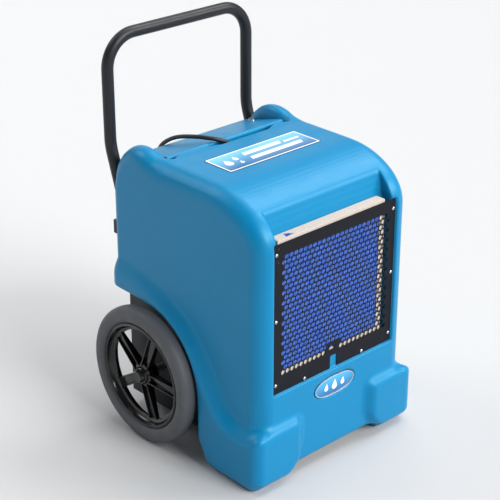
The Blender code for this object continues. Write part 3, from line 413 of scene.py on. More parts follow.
def soft_outline(corners, steps=5):
    """A closed outline whose (u, v, radius) corners are rounded."""
    points = []
    for index, (u, v, radius) in enumerate(corners):
        here = Vector((u, v))
        before = Vector(corners[index - 1][:2]) - here
        after = Vector(corners[(index + 1) % len(corners)][:2]) - here
        if radius <= 0.0:
            points.append((u, v))
            continue
        bend = pi - before.angle(after)
        reach = min(radius * np.tan(bend / 2), 0.48 * before.length, 0.48 * after.length)
        start, end = here + before.normalized() * reach, here + after.normalized() * reach
        for step in range(steps + 1):
            t = step / steps
            point = (1 - t) ** 2 * start + 2 * t * (1 - t) * here + t * t * end
            points.append((point.x, point.y))
    return points


def arc(centre, radii, start, end, count):
    return [(centre[0] + radii[0] * cos(radians(start + (end - start) * i / count)),
             centre[1] + radii[1] * sin(radians(start + (end - start) * i / count)))
            for i in range(count + 1)]


def rectangle(u0, v0, u1, v1):
    return [(u0, v0), (u1, v0), (u1, v1), (u0, v1)]


def circle(centre, radius, count):
    return arc(centre, (radius, radius), 0, 360, count)[:-1]


AXES = {"X": Matrix(((0, 0, 1, 0), (1, 0, 0, 0), (0, 1, 0, 0), (0, 0, 0, 1))),
        "Y": Matrix(((1, 0, 0, 0), (0, 0, -1, 0), (0, 1, 0, 0), (0, 0, 0, 1))),
        "Z": Matrix.Identity(4)}


def slab(outlines, axis, span):
    """Flat outlines with thickness; outline points are (depth, height) along X, (x, height) along Y
    and (x, depth) along Z, and those after the first are holes."""
    data = bpy.data.curves.new("slab", "CURVE")
    data.dimensions = "2D"
    data.fill_mode = "BOTH"
    data.extrude = abs(span[1] - span[0]) / 2 * MM
    for outline in outlines:
        spline = data.splines.new("POLY")
        spline.points.add(len(outline) - 1)
        spline.use_cyclic_u = True
        for point, (u, v) in zip(spline.points, outline):
            point.co = (u * MM, v * MM, 0.0, 1.0)
    middle = (span[0] + span[1]) / 2
    shift = {"X": (middle, FACE_Y, 0), "Y": (0, middle + FACE_Y, 0), "Z": (0, FACE_Y, middle)}[axis]
    made = linked("slab", data)
    made.matrix_world = Matrix.Translation(Vector(shift) * MM) @ AXES[axis]
    bm = welded(evaluated(made), 0.00001)
    bmesh.ops.dissolve_limit(bm, angle_limit=radians(0.5), verts=bm.verts, edges=bm.edges)
    return mesh_of(bm)


def smooth_line(knots, spacing):
    """Catmull-Rom curve through (x, depth, height) knots, with points about `spacing` apart."""
    points = [Vector(knot) for knot in knots]
    ends = [points[0] * 2 - points[1]] + points + [points[-1] * 2 - points[-2]]
    line = []
    for before, start, end, after in zip(ends, ends[1:], ends[2:], ends[3:]):
        steps = max(1, round((end - start).length / spacing))
        for step in range(steps):
            t = step / steps
            line.append(0.5 * ((2 * start) + (end - before) * t
                               + (2 * before - 5 * start + 4 * end - after) * t * t
                               + (3 * start - before - 3 * end + after) * t ** 3))
    line.append(points[-1])
    return line


def tube_curve(line, radius, resolution=4, cyclic=False):
    data = bpy.data.curves.new("tube", "CURVE")
    data.dimensions = "3D"
    data.bevel_depth = radius * MM
    data.bevel_resolution = resolution
    data.use_fill_caps = True
    spline = data.splines.new("POLY")
    spline.points.add(len(line) - 1)
    spline.use_cyclic_u = cyclic
    for point, place in zip(spline.points, line):
        point.co = (*at(*place), 1.0)
    return data


def tube(line, radius, resolution=4, cyclic=False):
    mesh = evaluated(linked("tube", tube_curve(line, radius, resolution, cyclic)))
    return mesh_of(welded(mesh, 0.000001))


def turned(profile, centre, axis, steps=96):
    """Solid of revolution of a (radius, distance along the axis) profile."""
    bm = bmesh.new()
    ring = profile[0][0] > 0
    verts = [bm.verts.new((r * MM, 0.0, d * MM)) for r, d in profile]
    for first, second in zip(verts, verts[1:] + ([verts[0]] if ring else [])):
        bm.edges.new((first, second))
    made = linked("turned", mesh_of(bm, False))
    screw = made.modifiers.new("turn", "SCREW")
    screw.steps = screw.render_steps = steps
    screw.use_merge_vertices = True
    screw.merge_threshold = 0.00001
    made.rotation_mode = "QUATERNION"
    made.rotation_quaternion = Vector(axis).to_track_quat("Z", "X")
    made.location = at(*centre)
    return mesh_of(welded(evaluated(made), 0.00001))


# --- moulded housing as a smooth field ---
def outline_distance(u, v, outline):
    """Signed distance from points to a closed outline, negative inside."""
    u, v = np.broadcast_arrays(u, v)
    nearest = np.full(u.shape, np.inf)
    inside = np.zeros(u.shape, bool)
    for (u0, v0), (u1, v1) in zip(outline, outline[1:] + outline[:1]):
        du, dv = u1 - u0, v1 - v0
        length = du * du + dv * dv
        if length == 0.0:
            continue
        t = np.clip(((u - u0) * du + (v - v0) * dv) / length, 0.0, 1.0)
        nearest = np.minimum(nearest, (u - u0 - t * du) ** 2 + (v - v0 - t * dv) ** 2)
        if dv != 0.0:
            inside ^= ((v0 <= v) != (v1 <= v)) & (u < u0 + (v - v0) / dv * du)
    return np.where(inside, -1.0, 1.0) * np.sqrt(nearest)


def meet(a, b, radius):
    """Intersection whose edge is rounded."""
    u, v = np.maximum(radius + a, 0.0), np.maximum(radius + b, 0.0)
    return np.minimum(-radius, np.maximum(a, b)) + np.sqrt(u * u + v * v)


def join(a, b, radius):
    """Union whose inner corner is filled with a fillet."""
    return -meet(-a, -b, radius)


def remove(a, b, radius):
    return meet(a, -b, radius)


def within(value, low, high):
    return np.maximum(low - value, value - high)


def blend_in(value, low, high):
    """0 below low, 1 above high, eased in between."""
    return eased(np.clip((value - low) / (high - low), 0.0, 1.0))


def eased(t):
    return t * t * (3.0 - 2.0 * t)


WALL = 5.0
BODY_HALF, SIDE_ROUND, REAR_ROUND = 212.0, 38.0, 22.0
SKIRT_LOW, TOP = 27.0, 626.0           # heights of the front's lower edge and of the lid
SHOULDER = (150.0, 520.0)              # centre of the lid's elliptical front curve
FRONT_FACE = -5.0
EAR_INNER = 165.0
FOOT_INNER, FOOT_FRONT = 104.0, -20.0
TAPER, TAPER_START = 14.0, 170.0       # the skirt narrows by this much towards the rear
SKIRT_ROUND, SKIRT_FILLET = 26.0, 20.0
SKIRT_WALL = 6.5
WHEEL_GAP = 6.0                        # between the tyre and its arch
OUTSIDE = -60.0                        # depth that is safely in front of the housing
FINE_STEP, QUICK_STEP = 3.0, 4.0       # grid of the housing's field
MOST_TRIANGLES = 190000
CHASSIS_HALF = -node_box("base_tray")[0][0]
POCKET = (-166.0, 158.0)


def body_profile(inset):
    """Side view of the body with its raised rear corners."""
    half_depth, half_height = SHOULDER[0] - FRONT_FACE - inset, TOP - SHOULDER[1] - inset
    lid = arc(SHOULDER, (half_depth, half_height), 180, 90, 24)
    ear = [(290.0, 626.0, 60), (322.0, 629.0, 60), (345.0, 637.0, 60), (367.0, 640.5, 60),
           (388.0, 638.0, 60), (407.0, 629.0, 60), (425.0, 614.0, 50), (440.0, 595.0, 50),
           (452.0, 571.0, 50), (470.0, 530.0, 0)]
    return soft_outline([(FRONT_FACE + inset, -80.0, 0)] + [(*point, 0) for point in lid]
                        + [(depth, height - inset, r) for depth, height, r in ear]
                        + [(600.0, 300.0, 0), (600.0, -80.0, 0)])


def flare_profile(inset):
    """Skirt that swoops from the front foot up over the wheel."""
    ridge = [(20.0, 128.0, 60), (60.0, 129.0, 60), (92.0, 146.0, 60), (116.0, 176.0, 90),
             (144.0, 222.0, 120), (178.0, 270.0, 120), (220.0, 307.0, 120), (277.0, 335.0, 150),
             (360.0, 359.0, 200), (520.0, 371.0, 0)]
    ridge = [(depth + inset * 0.5, height - inset, r) for depth, height, r in reversed(ridge)]
    top_front = [(FOOT_FRONT + inset, 136.0 - inset, 26.0)]
    base = [(FOOT_FRONT + inset, 24.0 + 0.4 * inset, 14), (4.0 + 0.4 * inset, inset, 14),
            (130.0 - inset, inset, 20), (152.0 - inset, 16.0, 24), (163.0 - inset, 46.0, 24),
            (260.0, 90.0, 0), (520.0, 200.0, 0)]
    return soft_outline(ridge + top_front + base)


def well_profile(grow):
    radius = WHEEL_RADIUS + WHEEL_GAP + grow
    return ([(AXLE_DEPTH - radius, -90.0)]
            + arc((AXLE_DEPTH, AXLE_HEIGHT), (radius, radius), 180, 90, 24)
            + [(600.0, AXLE_HEIGHT + radius), (600.0, -90.0)])


def box_field(x, depth, height, x_range, depth_range, height_range, radius):
    across = meet(within(x, *x_range), within(height, *height_range), radius)
    return np.maximum(across, within(depth, *depth_range))


def badge_outline(grow):
    """Wide almond with blunt ends."""
    half = ((BADGE_HIGH[0] - BADGE_LOW[0]) / 2 + grow, (BADGE_HIGH[2] - BADGE_LOW[2]) / 2 + grow)
    count = 64
    points = []
    for index in range(count):
        turn = 2 * pi * index / count
        reach = abs(cos(turn)) ** 0.75 * (1 if cos(turn) > 0 else -1)
        points.append((BADGE_CENTRE[0] + half[0] * reach, BADGE_CENTRE[1] + half[1] * sin(turn)))
    return points


def housing_field(x, depth, height):
    """Body and skirt as one shell, open below and at the rear; negative inside the plastic."""
    side = np.abs(x)
    side_round = SIDE_ROUND - 6.0 * blend_in(depth, 280.0, 360.0)
    body = meet(outline_distance(depth, height, body_profile(0.0)), side - BODY_HALF, side_round)
    body = meet(body, SKIRT_LOW - height, 5.0)
    body = meet(body, depth - HOUSING_REAR, REAR_ROUND)
    sunk = [(312.0, 598.0), (312.0, 800.0), (520.0, 800.0), (520.0, 542.0)]
    sunk = meet(outline_distance(depth, height, sunk), side - EAR_INNER, 10.0)
    body = remove(body, sunk, 3.5 + 13.5 * blend_in(side, 140.0, 162.0))

    flare_half = FLARE_HALF - TAPER * blend_in(depth, TAPER_START, HOUSING_REAR)
    flare = meet(outline_distance(depth, height, flare_profile(0.0)), side - flare_half, SKIRT_ROUND)
    flare = meet(flare, FOOT_INNER - side, 16.0)
    chamfer = soft_outline([(60.0, 62.0, 0), (100.0, 62.0, 6), (110.0, 46.0, 14), (136.0, 20.0, 14),
                            (148.0, -20.0, 0), (60.0, -20.0, 0)])
    chamfer = outline_distance(side, height, chamfer)
    flare = remove(flare, chamfer, 9.0)
    flare = meet(flare, depth - HOUSING_REAR + 0.7, REAR_ROUND)
    solid = join(body, flare, SKIRT_FILLET)

    hollow = meet(outline_distance(depth, height, body_profile(WALL)), side - BODY_HALF + WALL,
                  side_round - WALL)
    hollow = np.minimum(meet(hollow, depth - HOUSING_REAR + WALL, REAR_ROUND - WALL),
                        meet(hollow, side - BODY_HALF + REAR_ROUND, 2.0))
    behind = [(1.0, -90.0), (1.0, 188.0), (33.0, 200.0), (33.0, 546.0), (43.0, 590.0), (60.0, 640.0),
              (307.0, 640.0), (307.0, 594.0), (520.0, 535.0), (520.0, -90.0)]
    hollow = np.maximum(hollow, outline_distance(depth, height, behind))
    flare_hollow = meet(outline_distance(depth, height, flare_profile(SKIRT_WALL)),
                        np.maximum(side - flare_half + 6.0, 200.0 - side), 20.0)
    hollow = join(hollow, flare_hollow, 6.0)
    arch = np.maximum(outline_distance(depth, height, well_profile(6.0)), CHASSIS_HALF + 0.8 - side)
    solid = remove(solid, remove(hollow, arch, 3.0), 2.0)
    well = np.maximum(outline_distance(depth, height, well_profile(0.0)), CHASSIS_HALF - 0.5 - side)
    solid = remove(solid, well, 4.0)

    core = box_field(side, depth, height, (FOOT_INNER + 2.0, 216.0), (6.5, 45.0), (0.0, 100.0), 2.0)
    solid = join(solid, remove(core, chamfer, 3.0), 2.0)

    return cut_openings(solid, x, side, depth, height)


def cut_openings(solid, x, side, depth, height):
    """Recess of the plate, filter pocket, airway, cord trough, handle notches and badge seat."""
    recess = box_field(x, depth, height, (GRILLE_LOW[0] - 1.5, GRILLE_HIGH[0] + 1.5),
                       (OUTSIDE, GRILLE_HIGH[1] + 0.3), (GRILLE_LOW[2] - 1.5, GRILLE_HIGH[2] + 1.5), 4.0)
    slot = box_field(x, depth, height, POCKET, (OUTSIDE, FILTER_HIGH[1] + 1.5),
                     (FILTER_LOW[2] - 1.0, FILTER_HIGH[2] + 4.0), 2.0)
    wedge = soft_outline([(OUTSIDE, 541.0, 0), (27.0, 541.0, 0), (29.0, 549.0, 6), (38.5, 594.0, 4),
                          (30.0, 690.0, 0), (OUTSIDE, 690.0, 0)])
    wedge = np.maximum(outline_distance(depth, height, wedge), within(x, *POCKET))
    air_way = box_field(x, depth, height, (-148.0, 138.0), (0.0, 60.0), (252.0, 534.0), 6.0)
    trough = soft_outline([(-72.0, 345.0, 0), (-72.0, 311.5, 4), (-35.0, 300.0, 12),
                           (95.0, 300.0, 12), (122.0, 311.5, 4), (122.0, 345.0, 0)])
    trough = np.maximum(outline_distance(x, depth, trough), 599.0 - height)
    notch = [(419.5, 330.0), (419.5, 511.5), (454.1, 618.0), (520.0, 618.0), (520.0, 330.0)]
    notch = np.maximum(outline_distance(depth, height, notch), np.abs(side - LEG_X) - (TUBE_RADIUS + 2.5))
    seat = np.maximum(outline_distance(x, height, badge_outline(2.5)), within(depth, -40.0, -1.5))
    for opening, radius in ((recess, 2.5), (slot, 2.0), (wedge, 3.5), (air_way, 2.0), (trough, 4.0),
                            (notch, 3.0), (seat, 2.0)):
        solid = remove(solid, opening, radius)
    return solid


def surface_nets(field, origin, step):
    """Vertices and quads of the zero surface of a grid of values, inside negative."""
    cells = tuple(np.array(field.shape) - 1)
    size = int(np.prod(cells))
    weight = np.zeros(size)
    sums = np.zeros((3, size))
    crossings = []
    for axis in range(3):
        low = np.moveaxis(field, axis, 0)[:-1]
        high = np.moveaxis(field, axis, 0)[1:]
        index = np.argwhere((low < 0) != (high < 0))
        first, second = low[tuple(index.T)], high[tuple(index.T)]
        share = first / (first - second)
        place = np.insert(index[:, 1:], axis, index[:, 0], axis=1)
        point = place.astype(float)
        point[:, axis] += share
        others = [k for k in range(3) if k != axis]
        around = []
        for a, b in ((0, 0), (1, 0), (1, 1), (0, 1)):
            cell = place.copy()
            cell[:, others[0]] -= a
            cell[:, others[1]] -= b
            around.append(cell)
        valid = np.all([(cell >= 0).all(1) & (cell < cells).all(1) for cell in around], axis=0)
        ids = [np.ravel_multi_index(cell[valid].T, cells) for cell in around]
        for cell_ids in ids:
            weight += np.bincount(cell_ids, minlength=size)
            for k in range(3):
                sums[k] += np.bincount(cell_ids, weights=point[valid, k], minlength=size)
        flip = (first[valid] < 0) ^ (axis == 1)
        quads = np.stack(ids, axis=1)
        quads[~flip] = quads[~flip][:, ::-1]
        crossings.append(quads)
    used = np.flatnonzero(weight)
    number = np.full(size, -1)
    number[used] = np.arange(len(used))
    verts = (sums[:, used] / weight[used]).T * step + np.array(origin)
    return verts, number[np.concatenate(crossings)]


def sampled(grid, spots):
    """Trilinear values of a grid at fractional indices."""
    base = np.clip(np.floor(spots).astype(int), 0, np.array(grid.shape[:3]) - 2)
    part = spots - base
    total = 0.0
    for corner in np.ndindex(2, 2, 2):
        share = np.prod(np.where(corner, part, 1.0 - part), axis=1)
        value = grid[tuple((base + corner).T)]
        total = total + (share if value.ndim == 1 else share[:, None]) * value
    return total


def field_mesh(field, low, high, step, most_triangles):
    """Smooth mesh of a field's zero surface, in metres, with the field's own normals."""
    counts = [int((b - a) / step) + 1 for a, b in zip(low, high)]
    x, depth, height = np.meshgrid(*[a + step * np.arange(n) for a, n in zip(low, counts)],
                                   indexing="ij", sparse=True)
    grid = field(x, depth, height).astype(np.float32)
    slopes = np.stack(np.gradient(grid, step), axis=3)
    verts, quads = surface_nets(grid, low, step)
    origin = np.array(low)
    for _ in range(2):
        spots = (verts - origin) / step
        slope = sampled(slopes, spots)
        push = sampled(grid, spots)[:, None] * slope / np.maximum((slope ** 2).sum(1), 0.25)[:, None]
        verts = verts - np.clip(push, -0.5 * step, 0.5 * step)

    mesh = bpy.data.meshes.new("field")
    mesh.vertices.add(len(verts))
    mesh.vertices.foreach_set("co", ((verts + (0.0, FACE_Y, 0.0)) * MM).astype(np.float32).ravel())
    mesh.loops.add(quads.size)
    mesh.loops.foreach_set("vertex_index", quads.astype(np.int32).ravel())
    mesh.polygons.add(len(quads))
    mesh.polygons.foreach_set("loop_start", np.arange(0, quads.size, 4, dtype=np.int32))
    mesh.update(calc_edges=True)
    if 2 * len(quads) > most_triangles:
        made = linked("field", mesh)
        thin = made.modifiers.new("thin", "DECIMATE")
        thin.ratio = most_triangles / (2 * len(quads))
        mesh = evaluated(made)
    flat = np.zeros(len(mesh.vertices) * 3, np.float32)
    mesh.vertices.foreach_get("co", flat)
    spots = (flat.reshape(-1, 3) / MM - (0.0, FACE_Y, 0.0) - origin) / step
    normals = sampled(slopes, spots)
    normals /= np.maximum(np.linalg.norm(normals, axis=1), 1e-6)[:, None]
    mesh.shade_smooth()
    mesh.normals_split_custom_set_from_vertices(normals.astype(float))
    return mesh


def make_housing():
    step = FINE_STEP
    margin = 3.5 * FINE_STEP
    low = tuple(value - margin for value in HOUSING_LOW)
    high = tuple(value + margin for value in HOUSING_HIGH)
    mesh = field_mesh(housing_field, low, high, step, MOST_TRIANGLES)
    shell = piece("housing_shell", mesh, BLUE, "root", None)
    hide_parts("housing")


# --- copies of CAD shapes with softened edges ---
SLOTS = {part["node"]: part["material_slot"] for part in frame["record"]["subparts"]}
BODY_OF = {node: body for body, nodes in frame["record"]["behaviour"]["bodies"].items()
           for node in nodes}
SLOT_FINISH = {"housing_blue": BLUE, "black_steel": BLACK, "zinc_steel": ZINC, "tyre_rubber": RUBBER,
               "gloss_black": GLOSS, "matte_black": MATTE, "grey_plastic": GREY, "filter_card": CARD,
               "filter_media": FIBRE, "coil_fins": FINS, "copper": COPPER, "brass": BRASS,
               "label": BLUE, "red_plastic": RED, "cord_rubber": JACKET}


def finish_nodes():
    for name, node in frame["nodes"].items():
        node.data.materials.clear()
        node.data.materials.append(SLOT_FINISH[SLOTS[name]])


def softened(name, width, finish=None, segments=2, angle=35.0):
    """Stands in for a CAD node with its own shape and rounded edges."""
    node = frame["nodes"][name]
    mesh = node.data.copy()
    mesh.transform(node.matrix_world)
    made = piece(name + "_soft", bevelled(mesh, width, segments, angle),
                 finish or SLOT_FINISH[SLOTS[name]], BODY_OF[name])
    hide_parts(name)
    return made


# --- cord ---
CORD_DIAMETER = 9.0
CORD_ROUTE = [(50.0, 309.5, 605.5), (36.0, 309.5, 605.5), (20.0, 309.5, 607.0), (3.0, 309.5, 613.5),
              (-12.0, 310.5, 621.5), (-26.0, 314.0, 628.0), (-38.0, 321.5, 632.0),
              (-47.0, 333.0, 633.0), (-53.0, 348.0, 632.5), (-57.0, 366.0, 629.5),
              (-60.0, 388.0, 624.5), (-62.0, 411.0, 617.0), (-64.0, 434.0, 605.5),
              (-66.0, 455.0, 589.5), (-67.5, 469.0, 568.0), (-68.0, 476.0, 542.0),
              (-67.5, 478.5, 510.0), (-66.5, 479.5, 460.0), (-65.5, 480.0, 400.0),
              (-64.5, 480.0, 330.0), (-63.0, 480.0, 260.0), (-61.5, 480.0, 190.0),
              (-60.5, 480.0, 130.0), (-60.0, 480.0, 84.0), (-59.5, 480.5, 52.0),
              (-55.0, 484.0, 28.0), (-42.0, 494.0, 11.0), (-23.0, 508.0, 5.2), (0.0, 525.0, 5.0),
              (22.0, 541.5, 5.0), (38.0, 559.0, 5.0), (45.0, 572.0, 5.0), (46.5, 583.0, 5.0)]


def coil_line(centre, rings, layers, low, exit_place, per_turn=40):
    """The stored length: turns a diameter apart, wound clockwise from the left side. Each turn steps
    to its next ring or layer on its rear half, and the last half turn drops outside the coil."""
    pitch = CORD_DIAMETER
    inner = centre[2]
    spots = []
    for layer in range(layers):
        order = range(rings - 1, -1, -1) if layer % 2 == 0 else range(rings)
        spots += [(inner + ring * pitch, low + layer * pitch) for ring in order]
    spots = spots[:-1]
    before = [spots[0]] + spots[:-1]
    line = []
    half = per_turn // 2
    middle = inner + (rings - 1) * pitch / 2
    for (old_r, old_z), (new_r, new_z) in zip(before, spots):
        climbs = new_z > old_z
        for step in range(per_turn):
            share = eased(min(1.0, step / half))
            swell = 4.0 * sin(pi * min(1.0, step / half)) if climbs else 0.0
            radius = old_r + (new_r - old_r) * share + (swell if new_r > middle else -swell)
            turn = pi - 2 * pi * step / per_turn
            line.append((centre[0] + radius * cos(turn), centre[1] + radius * sin(turn),
                         old_z + (new_z - old_z) * share))
    last_r, last_z = spots[-1]
    end_r, end_z = exit_place[0] - centre[0], exit_place[2]
    for step in range(half + 1):
        share = step / half
        radius = last_r + (end_r - last_r) * eased(min(1.0, share / 0.45))
        height = last_z + (end_z - last_z) * eased(max(0.0, (share - 0.4) / 0.6))
        turn = pi - pi * share
        line.append((centre[0] + radius * cos(turn), centre[1] + radius * sin(turn), height))
    return line


def make_plug():
    """Moulded plug: a ribbed strain relief, a waisted grip and three metal pins."""
    x, height, front, start = PLUG_X, PLUG_HEIGHT, PLUG_FRONT, RELIEF_START
    relief = [(0.0, 0.0), (5.4, 0.0)]
    for ring in range(6):
        radius, back = 5.9 + 0.45 * ring, 2.0 + 3.6 * ring
        relief += [(radius, back), (radius, back + 2.2), (radius - 0.9, back + 2.6),
                   (radius - 0.9, back + 3.4)]
    relief += [(8.5, 25.0), (0.0, 25.0)]
    grip = soft_outline([(x - 9.5, start - 22.0, 4), (x + 9.5, start - 22.0, 4),
                         (x + 14.0, start - 40.0, 8), (x + 14.0, start - 58.0, 3),
                         (x - 14.0, start - 58.0, 3), (x - 14.0, start - 40.0, 8)])
    body = merged(turned(relief, (x, start, height), (0, -1, 0), 32),
                  bevelled(slab([grip], "Z", (height - 13.0, height + 13.0)), 3.5, 4, 50.0))
    plug = piece("plug_body", body, JACKET)
    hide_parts("power_plug")
    blades = [slab([rectangle(x + offset - 0.8, start - 57.0, x + offset + 0.8, front + 1.0)], "Z",
                   (height - 7.0, height - 0.6)) for offset in (-6.3, 6.3)]
    pin = tube([(x, start - 57.0, height + 7.5), (x, front + 0.5, height + 7.5)], 2.4, 6)
    pins = piece("plug_pins", merged(*blades, pin), BRASS)
    return plug, pins


def make_cord():
    coil_low, coil_high = node_box("cord_coil")
    centre = middle_of("cord_coil")[:2]
    radius = CORD_DIAMETER / 2
    rings, layers = 4, 4
    outer = (coil_high[0] - coil_low[0]) / 2 - radius
    inner = outer - (rings - 1) * CORD_DIAMETER
    coil = coil_line((centre[0], centre[1], inner), rings, layers, coil_low[2] + radius,
                     (PLUG_X, centre[1], PLUG_HEIGHT))
    route = smooth_line(CORD_ROUTE, 7.0)
    entry = coil[0]
    gap = entry[1] - route[-1].y
    lead_in = [Vector((entry[0], route[-1].y + gap * t, route[-1].z + (entry[2] - route[-1].z)
                       * eased(t))) for t in (0.25, 0.5, 0.75)]
    tail = [(PLUG_X, centre[1] + (RELIEF_START - centre[1]) * t, PLUG_HEIGHT)
            for t in (0.25, 0.5, 0.75, 1.05)]
    line = [tuple(point) for point in route + lead_in] + coil + tail
    data = tube_curve(line, radius, 4)
    cord = linked("cord", data)
    data.materials.append(JACKET)
    for spline in data.splines:
        spline.use_smooth = True
    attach(cord, "root")
    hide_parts("power_cord", "cord_coil")
    make_plug()
    softened("cord_tie", 0.5, MATTE)


# --- top: deck, bolts, label ---
def make_deck():
    front, rear, thick = (321.0, 626.0), (DECK_HIGH[1], 592.0), 4.0
    outline = soft_outline([(front[0], 599.0, 0), (*front, 7.0), (*rear, 10.0), (rear[0], 567.0, 0),
                            (rear[0] - thick, 567.0, 0), (rear[0] - thick, rear[1] - 3.2, 6.0),
                            (front[0] + thick, front[1] - 5.2, 3.0), (front[0] + thick, 599.0, 0)])
    mesh = slab([outline], "X", (DECK_LOW[0], DECK_HIGH[0]))
    deck = piece("deck_cover", bevelled(mesh, 1.6, 3, 50.0), BLUE, "root", 40.0)
    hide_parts("rear_deck")
    for side in ("left", "right"):
        softened("deck_bolt_" + side, 0.6, ZINC)


def droplet(u, v, size, belly, sink, lean=0.0):
    """Drop with its point up; its round end's radius and sink are shares of its size."""
    return [(u + lean, v + size)] + arc((u, v - sink * size), (belly * size, belly * size), 150, 390, 18)


def make_label():
    """Printed top label: black and white borders, a blue panel with droplets and generic bars."""
    (x0, d0, base), (x1, d1, _) = node_box("top_label")
    z0 = base - 0.2

    def frame_outline(inset):
        corners = rectangle(x0 + inset, d0 + inset, x1 - inset, d1 - inset)
        return soft_outline([(*corner, 3) for corner in corners], 3)

    ink = piece("label_border", slab([frame_outline(0.0)], "Z", (z0, z0 + 0.5)), INK)
    piece("label_edge", slab([frame_outline(1.6), frame_outline(4.6)], "Z", (z0, z0 + 0.7)),
          WHITE_INK)
    piece("label_panel", slab([frame_outline(4.6)], "Z", (z0, z0 + 0.65)), LABEL_BLUE)
    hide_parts("top_label")
    marks = [droplet(x, depth, size, 0.62, 0.25)
             for x, depth, size in ((-98.0, 210.0, 15.0), (-72.0, 219.0, 10.0), (-72.0, 197.0, 7.0))]
    for start, end, depth, tall in ((-46.0, 58.0, 226.0, 13.0), (-46.0, 96.0, 200.0, 13.0),
                                    (66.0, 108.0, 222.0, 7.0)):
        marks.append([(start, depth - tall / 2), (end, depth - tall / 2),
                      (end + 0.35 * tall, depth + tall / 2), (start + 0.35 * tall, depth + tall / 2)])
    mesh = merged(*[slab([mark], "Z", (z0, z0 + 0.85)) for mark in marks])
    piece("label_marks", mesh, WHITE_INK)


def make_badge():
    """Raised lens badge with a bright rim and a droplet motif."""
    back, face = BADGE_HIGH[1], BADGE_LOW[1]
    rim = piece("badge_rim", bevelled(slab([badge_outline(0.0), badge_outline(-2.4)], "Y",
                                           (back, face - 1.2)), 0.5, 2), SILVER)
    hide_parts("front_badge")
    piece("badge_panel", slab([badge_outline(-2.0)], "Y", (back, face)), BADGE_BLUE)
    mesh = merged(*[slab([droplet(BADGE_CENTRE[0] + x, BADGE_CENTRE[1], size, 0.6, 0.3, 2.0)], "Y",
                         (back, face - 0.4)) for x, size in ((-24.0, 9.0), (0.0, 12.0), (24.0, 9.0))])
    piece("badge_marks", mesh, WHITE_INK)


# --- front: perforated plate, screws, filter ---
SCREWS = ([(side * 165.5, z) for side in (-1, 1) for z in (517.0, 373.0, 230.0)]
          + [(-84.0, 216.0), (84.0, 216.0)])


def make_grille():
    """Steel plate with staggered round holes, a notch under its middle and eight screws."""
    (x0, face, z0), (x1, _, z1) = GRILLE_LOW, GRILLE_HIGH
    outline = soft_outline([(x0, z0, 4), (-10.0, z0, 1.5), (-10.0, 239.0, 4), (10.0, 239.0, 4),
                            (10.0, z0, 1.5), (x1, z0, 4), (x1, z1, 4), (x0, z1, 4)], 3)
    pitch, radius, low, high, left, right = 12.75, 5.5, 253.0, 519.0, -144.0, 150.0
    row_step = pitch * 0.866
    rows = round((high - low) / row_step)
    holes = []
    for row in range(rows):
        height = low + row * row_step
        x = left + (pitch / 2 if row % 2 else 0.0)
        while x <= right:
            if row > 1 or not -20.0 < x < 16.0:
                holes.append(circle((x, height), radius, 14))
            x += pitch
    holes.append([(-15.0, 254.0), (3.0, 254.0), (-6.0, 269.0)])
    holes += [circle((side * 158.0, z), 2.2, 10) for side in (-1, 1) for z in (500.0, 528.0)]
    holes += [circle(screw, 2.3, 10) for screw in SCREWS]
    plate = slab([outline] + holes, "Y", (face, face + 0.9))
    made = piece("grille_plate", plate, PLATE, "root", 30.0)
    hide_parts("front_grille")

    for index, (x, z) in enumerate(SCREWS):
        dome = turned([(0.0, 14.0), (1.9, 14.0), (1.9, 0.0), (3.9, 0.0), (3.8, -0.7), (2.9, -1.7),
                       (1.6, -2.2), (0.0, -2.3)], (x, face - 0.1, z), (0, 1, 0), 24)
        cross = merged(*[slab([rectangle(x - a, z - b, x + a, z + b)], "Y", (-2.5, -2.0))
                         for a, b in ((1.7, 0.4), (0.4, 1.7))])
        head = piece(f"screw_head_{index + 1}", dome, ZINC)
        piece(f"screw_cross_{index + 1}", cross, MATTE)
        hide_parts(f"grille_screw_{index + 1}")


def make_filter():
    """Card frame and its printed arrow; the fibrous pad stays the CAD node in its fibre finish."""
    (x0, front, z0), (x1, back, z1) = FILTER_LOW, FILTER_HIGH
    border = 14.0
    outer = soft_outline([(x0, z0, 2), (x1, z0, 2), (x1, z1, 3), (x0, z1, 3)], 3)
    window = rectangle(x0 + border, z0 + border, x1 - border, z1 - border)
    rim = rectangle(x0 + 2.0, z0 + 2.0, x1 - 2.0, z1 - 2.0)
    card_mesh = merged(slab([outer, window], "Y", (front, front + 1.6)),
                       slab([outer, window], "Y", (back - 1.6, back)),
                       slab([outer, rim], "Y", (front + 1.6, back - 1.6)))
    made = piece("filter_card_frame", card_mesh, CARD, "filter")
    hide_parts("filter_frame")
    arrow = [(x0 + 26.0, front + 3.0), (x0 + 50.0, front + 6.0), (x0 + 31.0, back - 5.0)]
    piece("filter_arrow", slab([arrow], "Z", (z1 - 0.1, z1 + 0.15)), PRINT_BLUE, "filter")


# --- handle ---
def handle_line():
    """Axis of the bent tube, from the left leg's end to the right one's."""
    low, high, tilt, knee_high, bend = 436.0, 470.6, radians(18.0), 618.0, 68.0
    half, top = LEG_X, HANDLE_HIGH[2] - TUBE_RADIUS
    knee = knee_high - (high - low) / np.tan(tilt)
    bends = soft_outline([(low, 400.0, 0), (low, knee, 120.0), (high, knee_high, 120.0),
                          (high, top - bend, 0)], 8)
    corner = arc((bend - half, top - bend), (bend, bend), 180, 90, 20)
    left = [(-half, depth, z) for depth, z in bends[:-1]] + [(x, high, z) for x, z in corner]
    return left + [(-x, depth, z) for x, depth, z in reversed(left)]


def make_handle():
    made = piece("handle_tube", tube(handle_line(), TUBE_RADIUS, 10), BLACK, "root", 50.0)
    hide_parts("handle")
    for side in ("left", "right"):
        softened("handle_clamp_" + side, 1.2, BLACK)


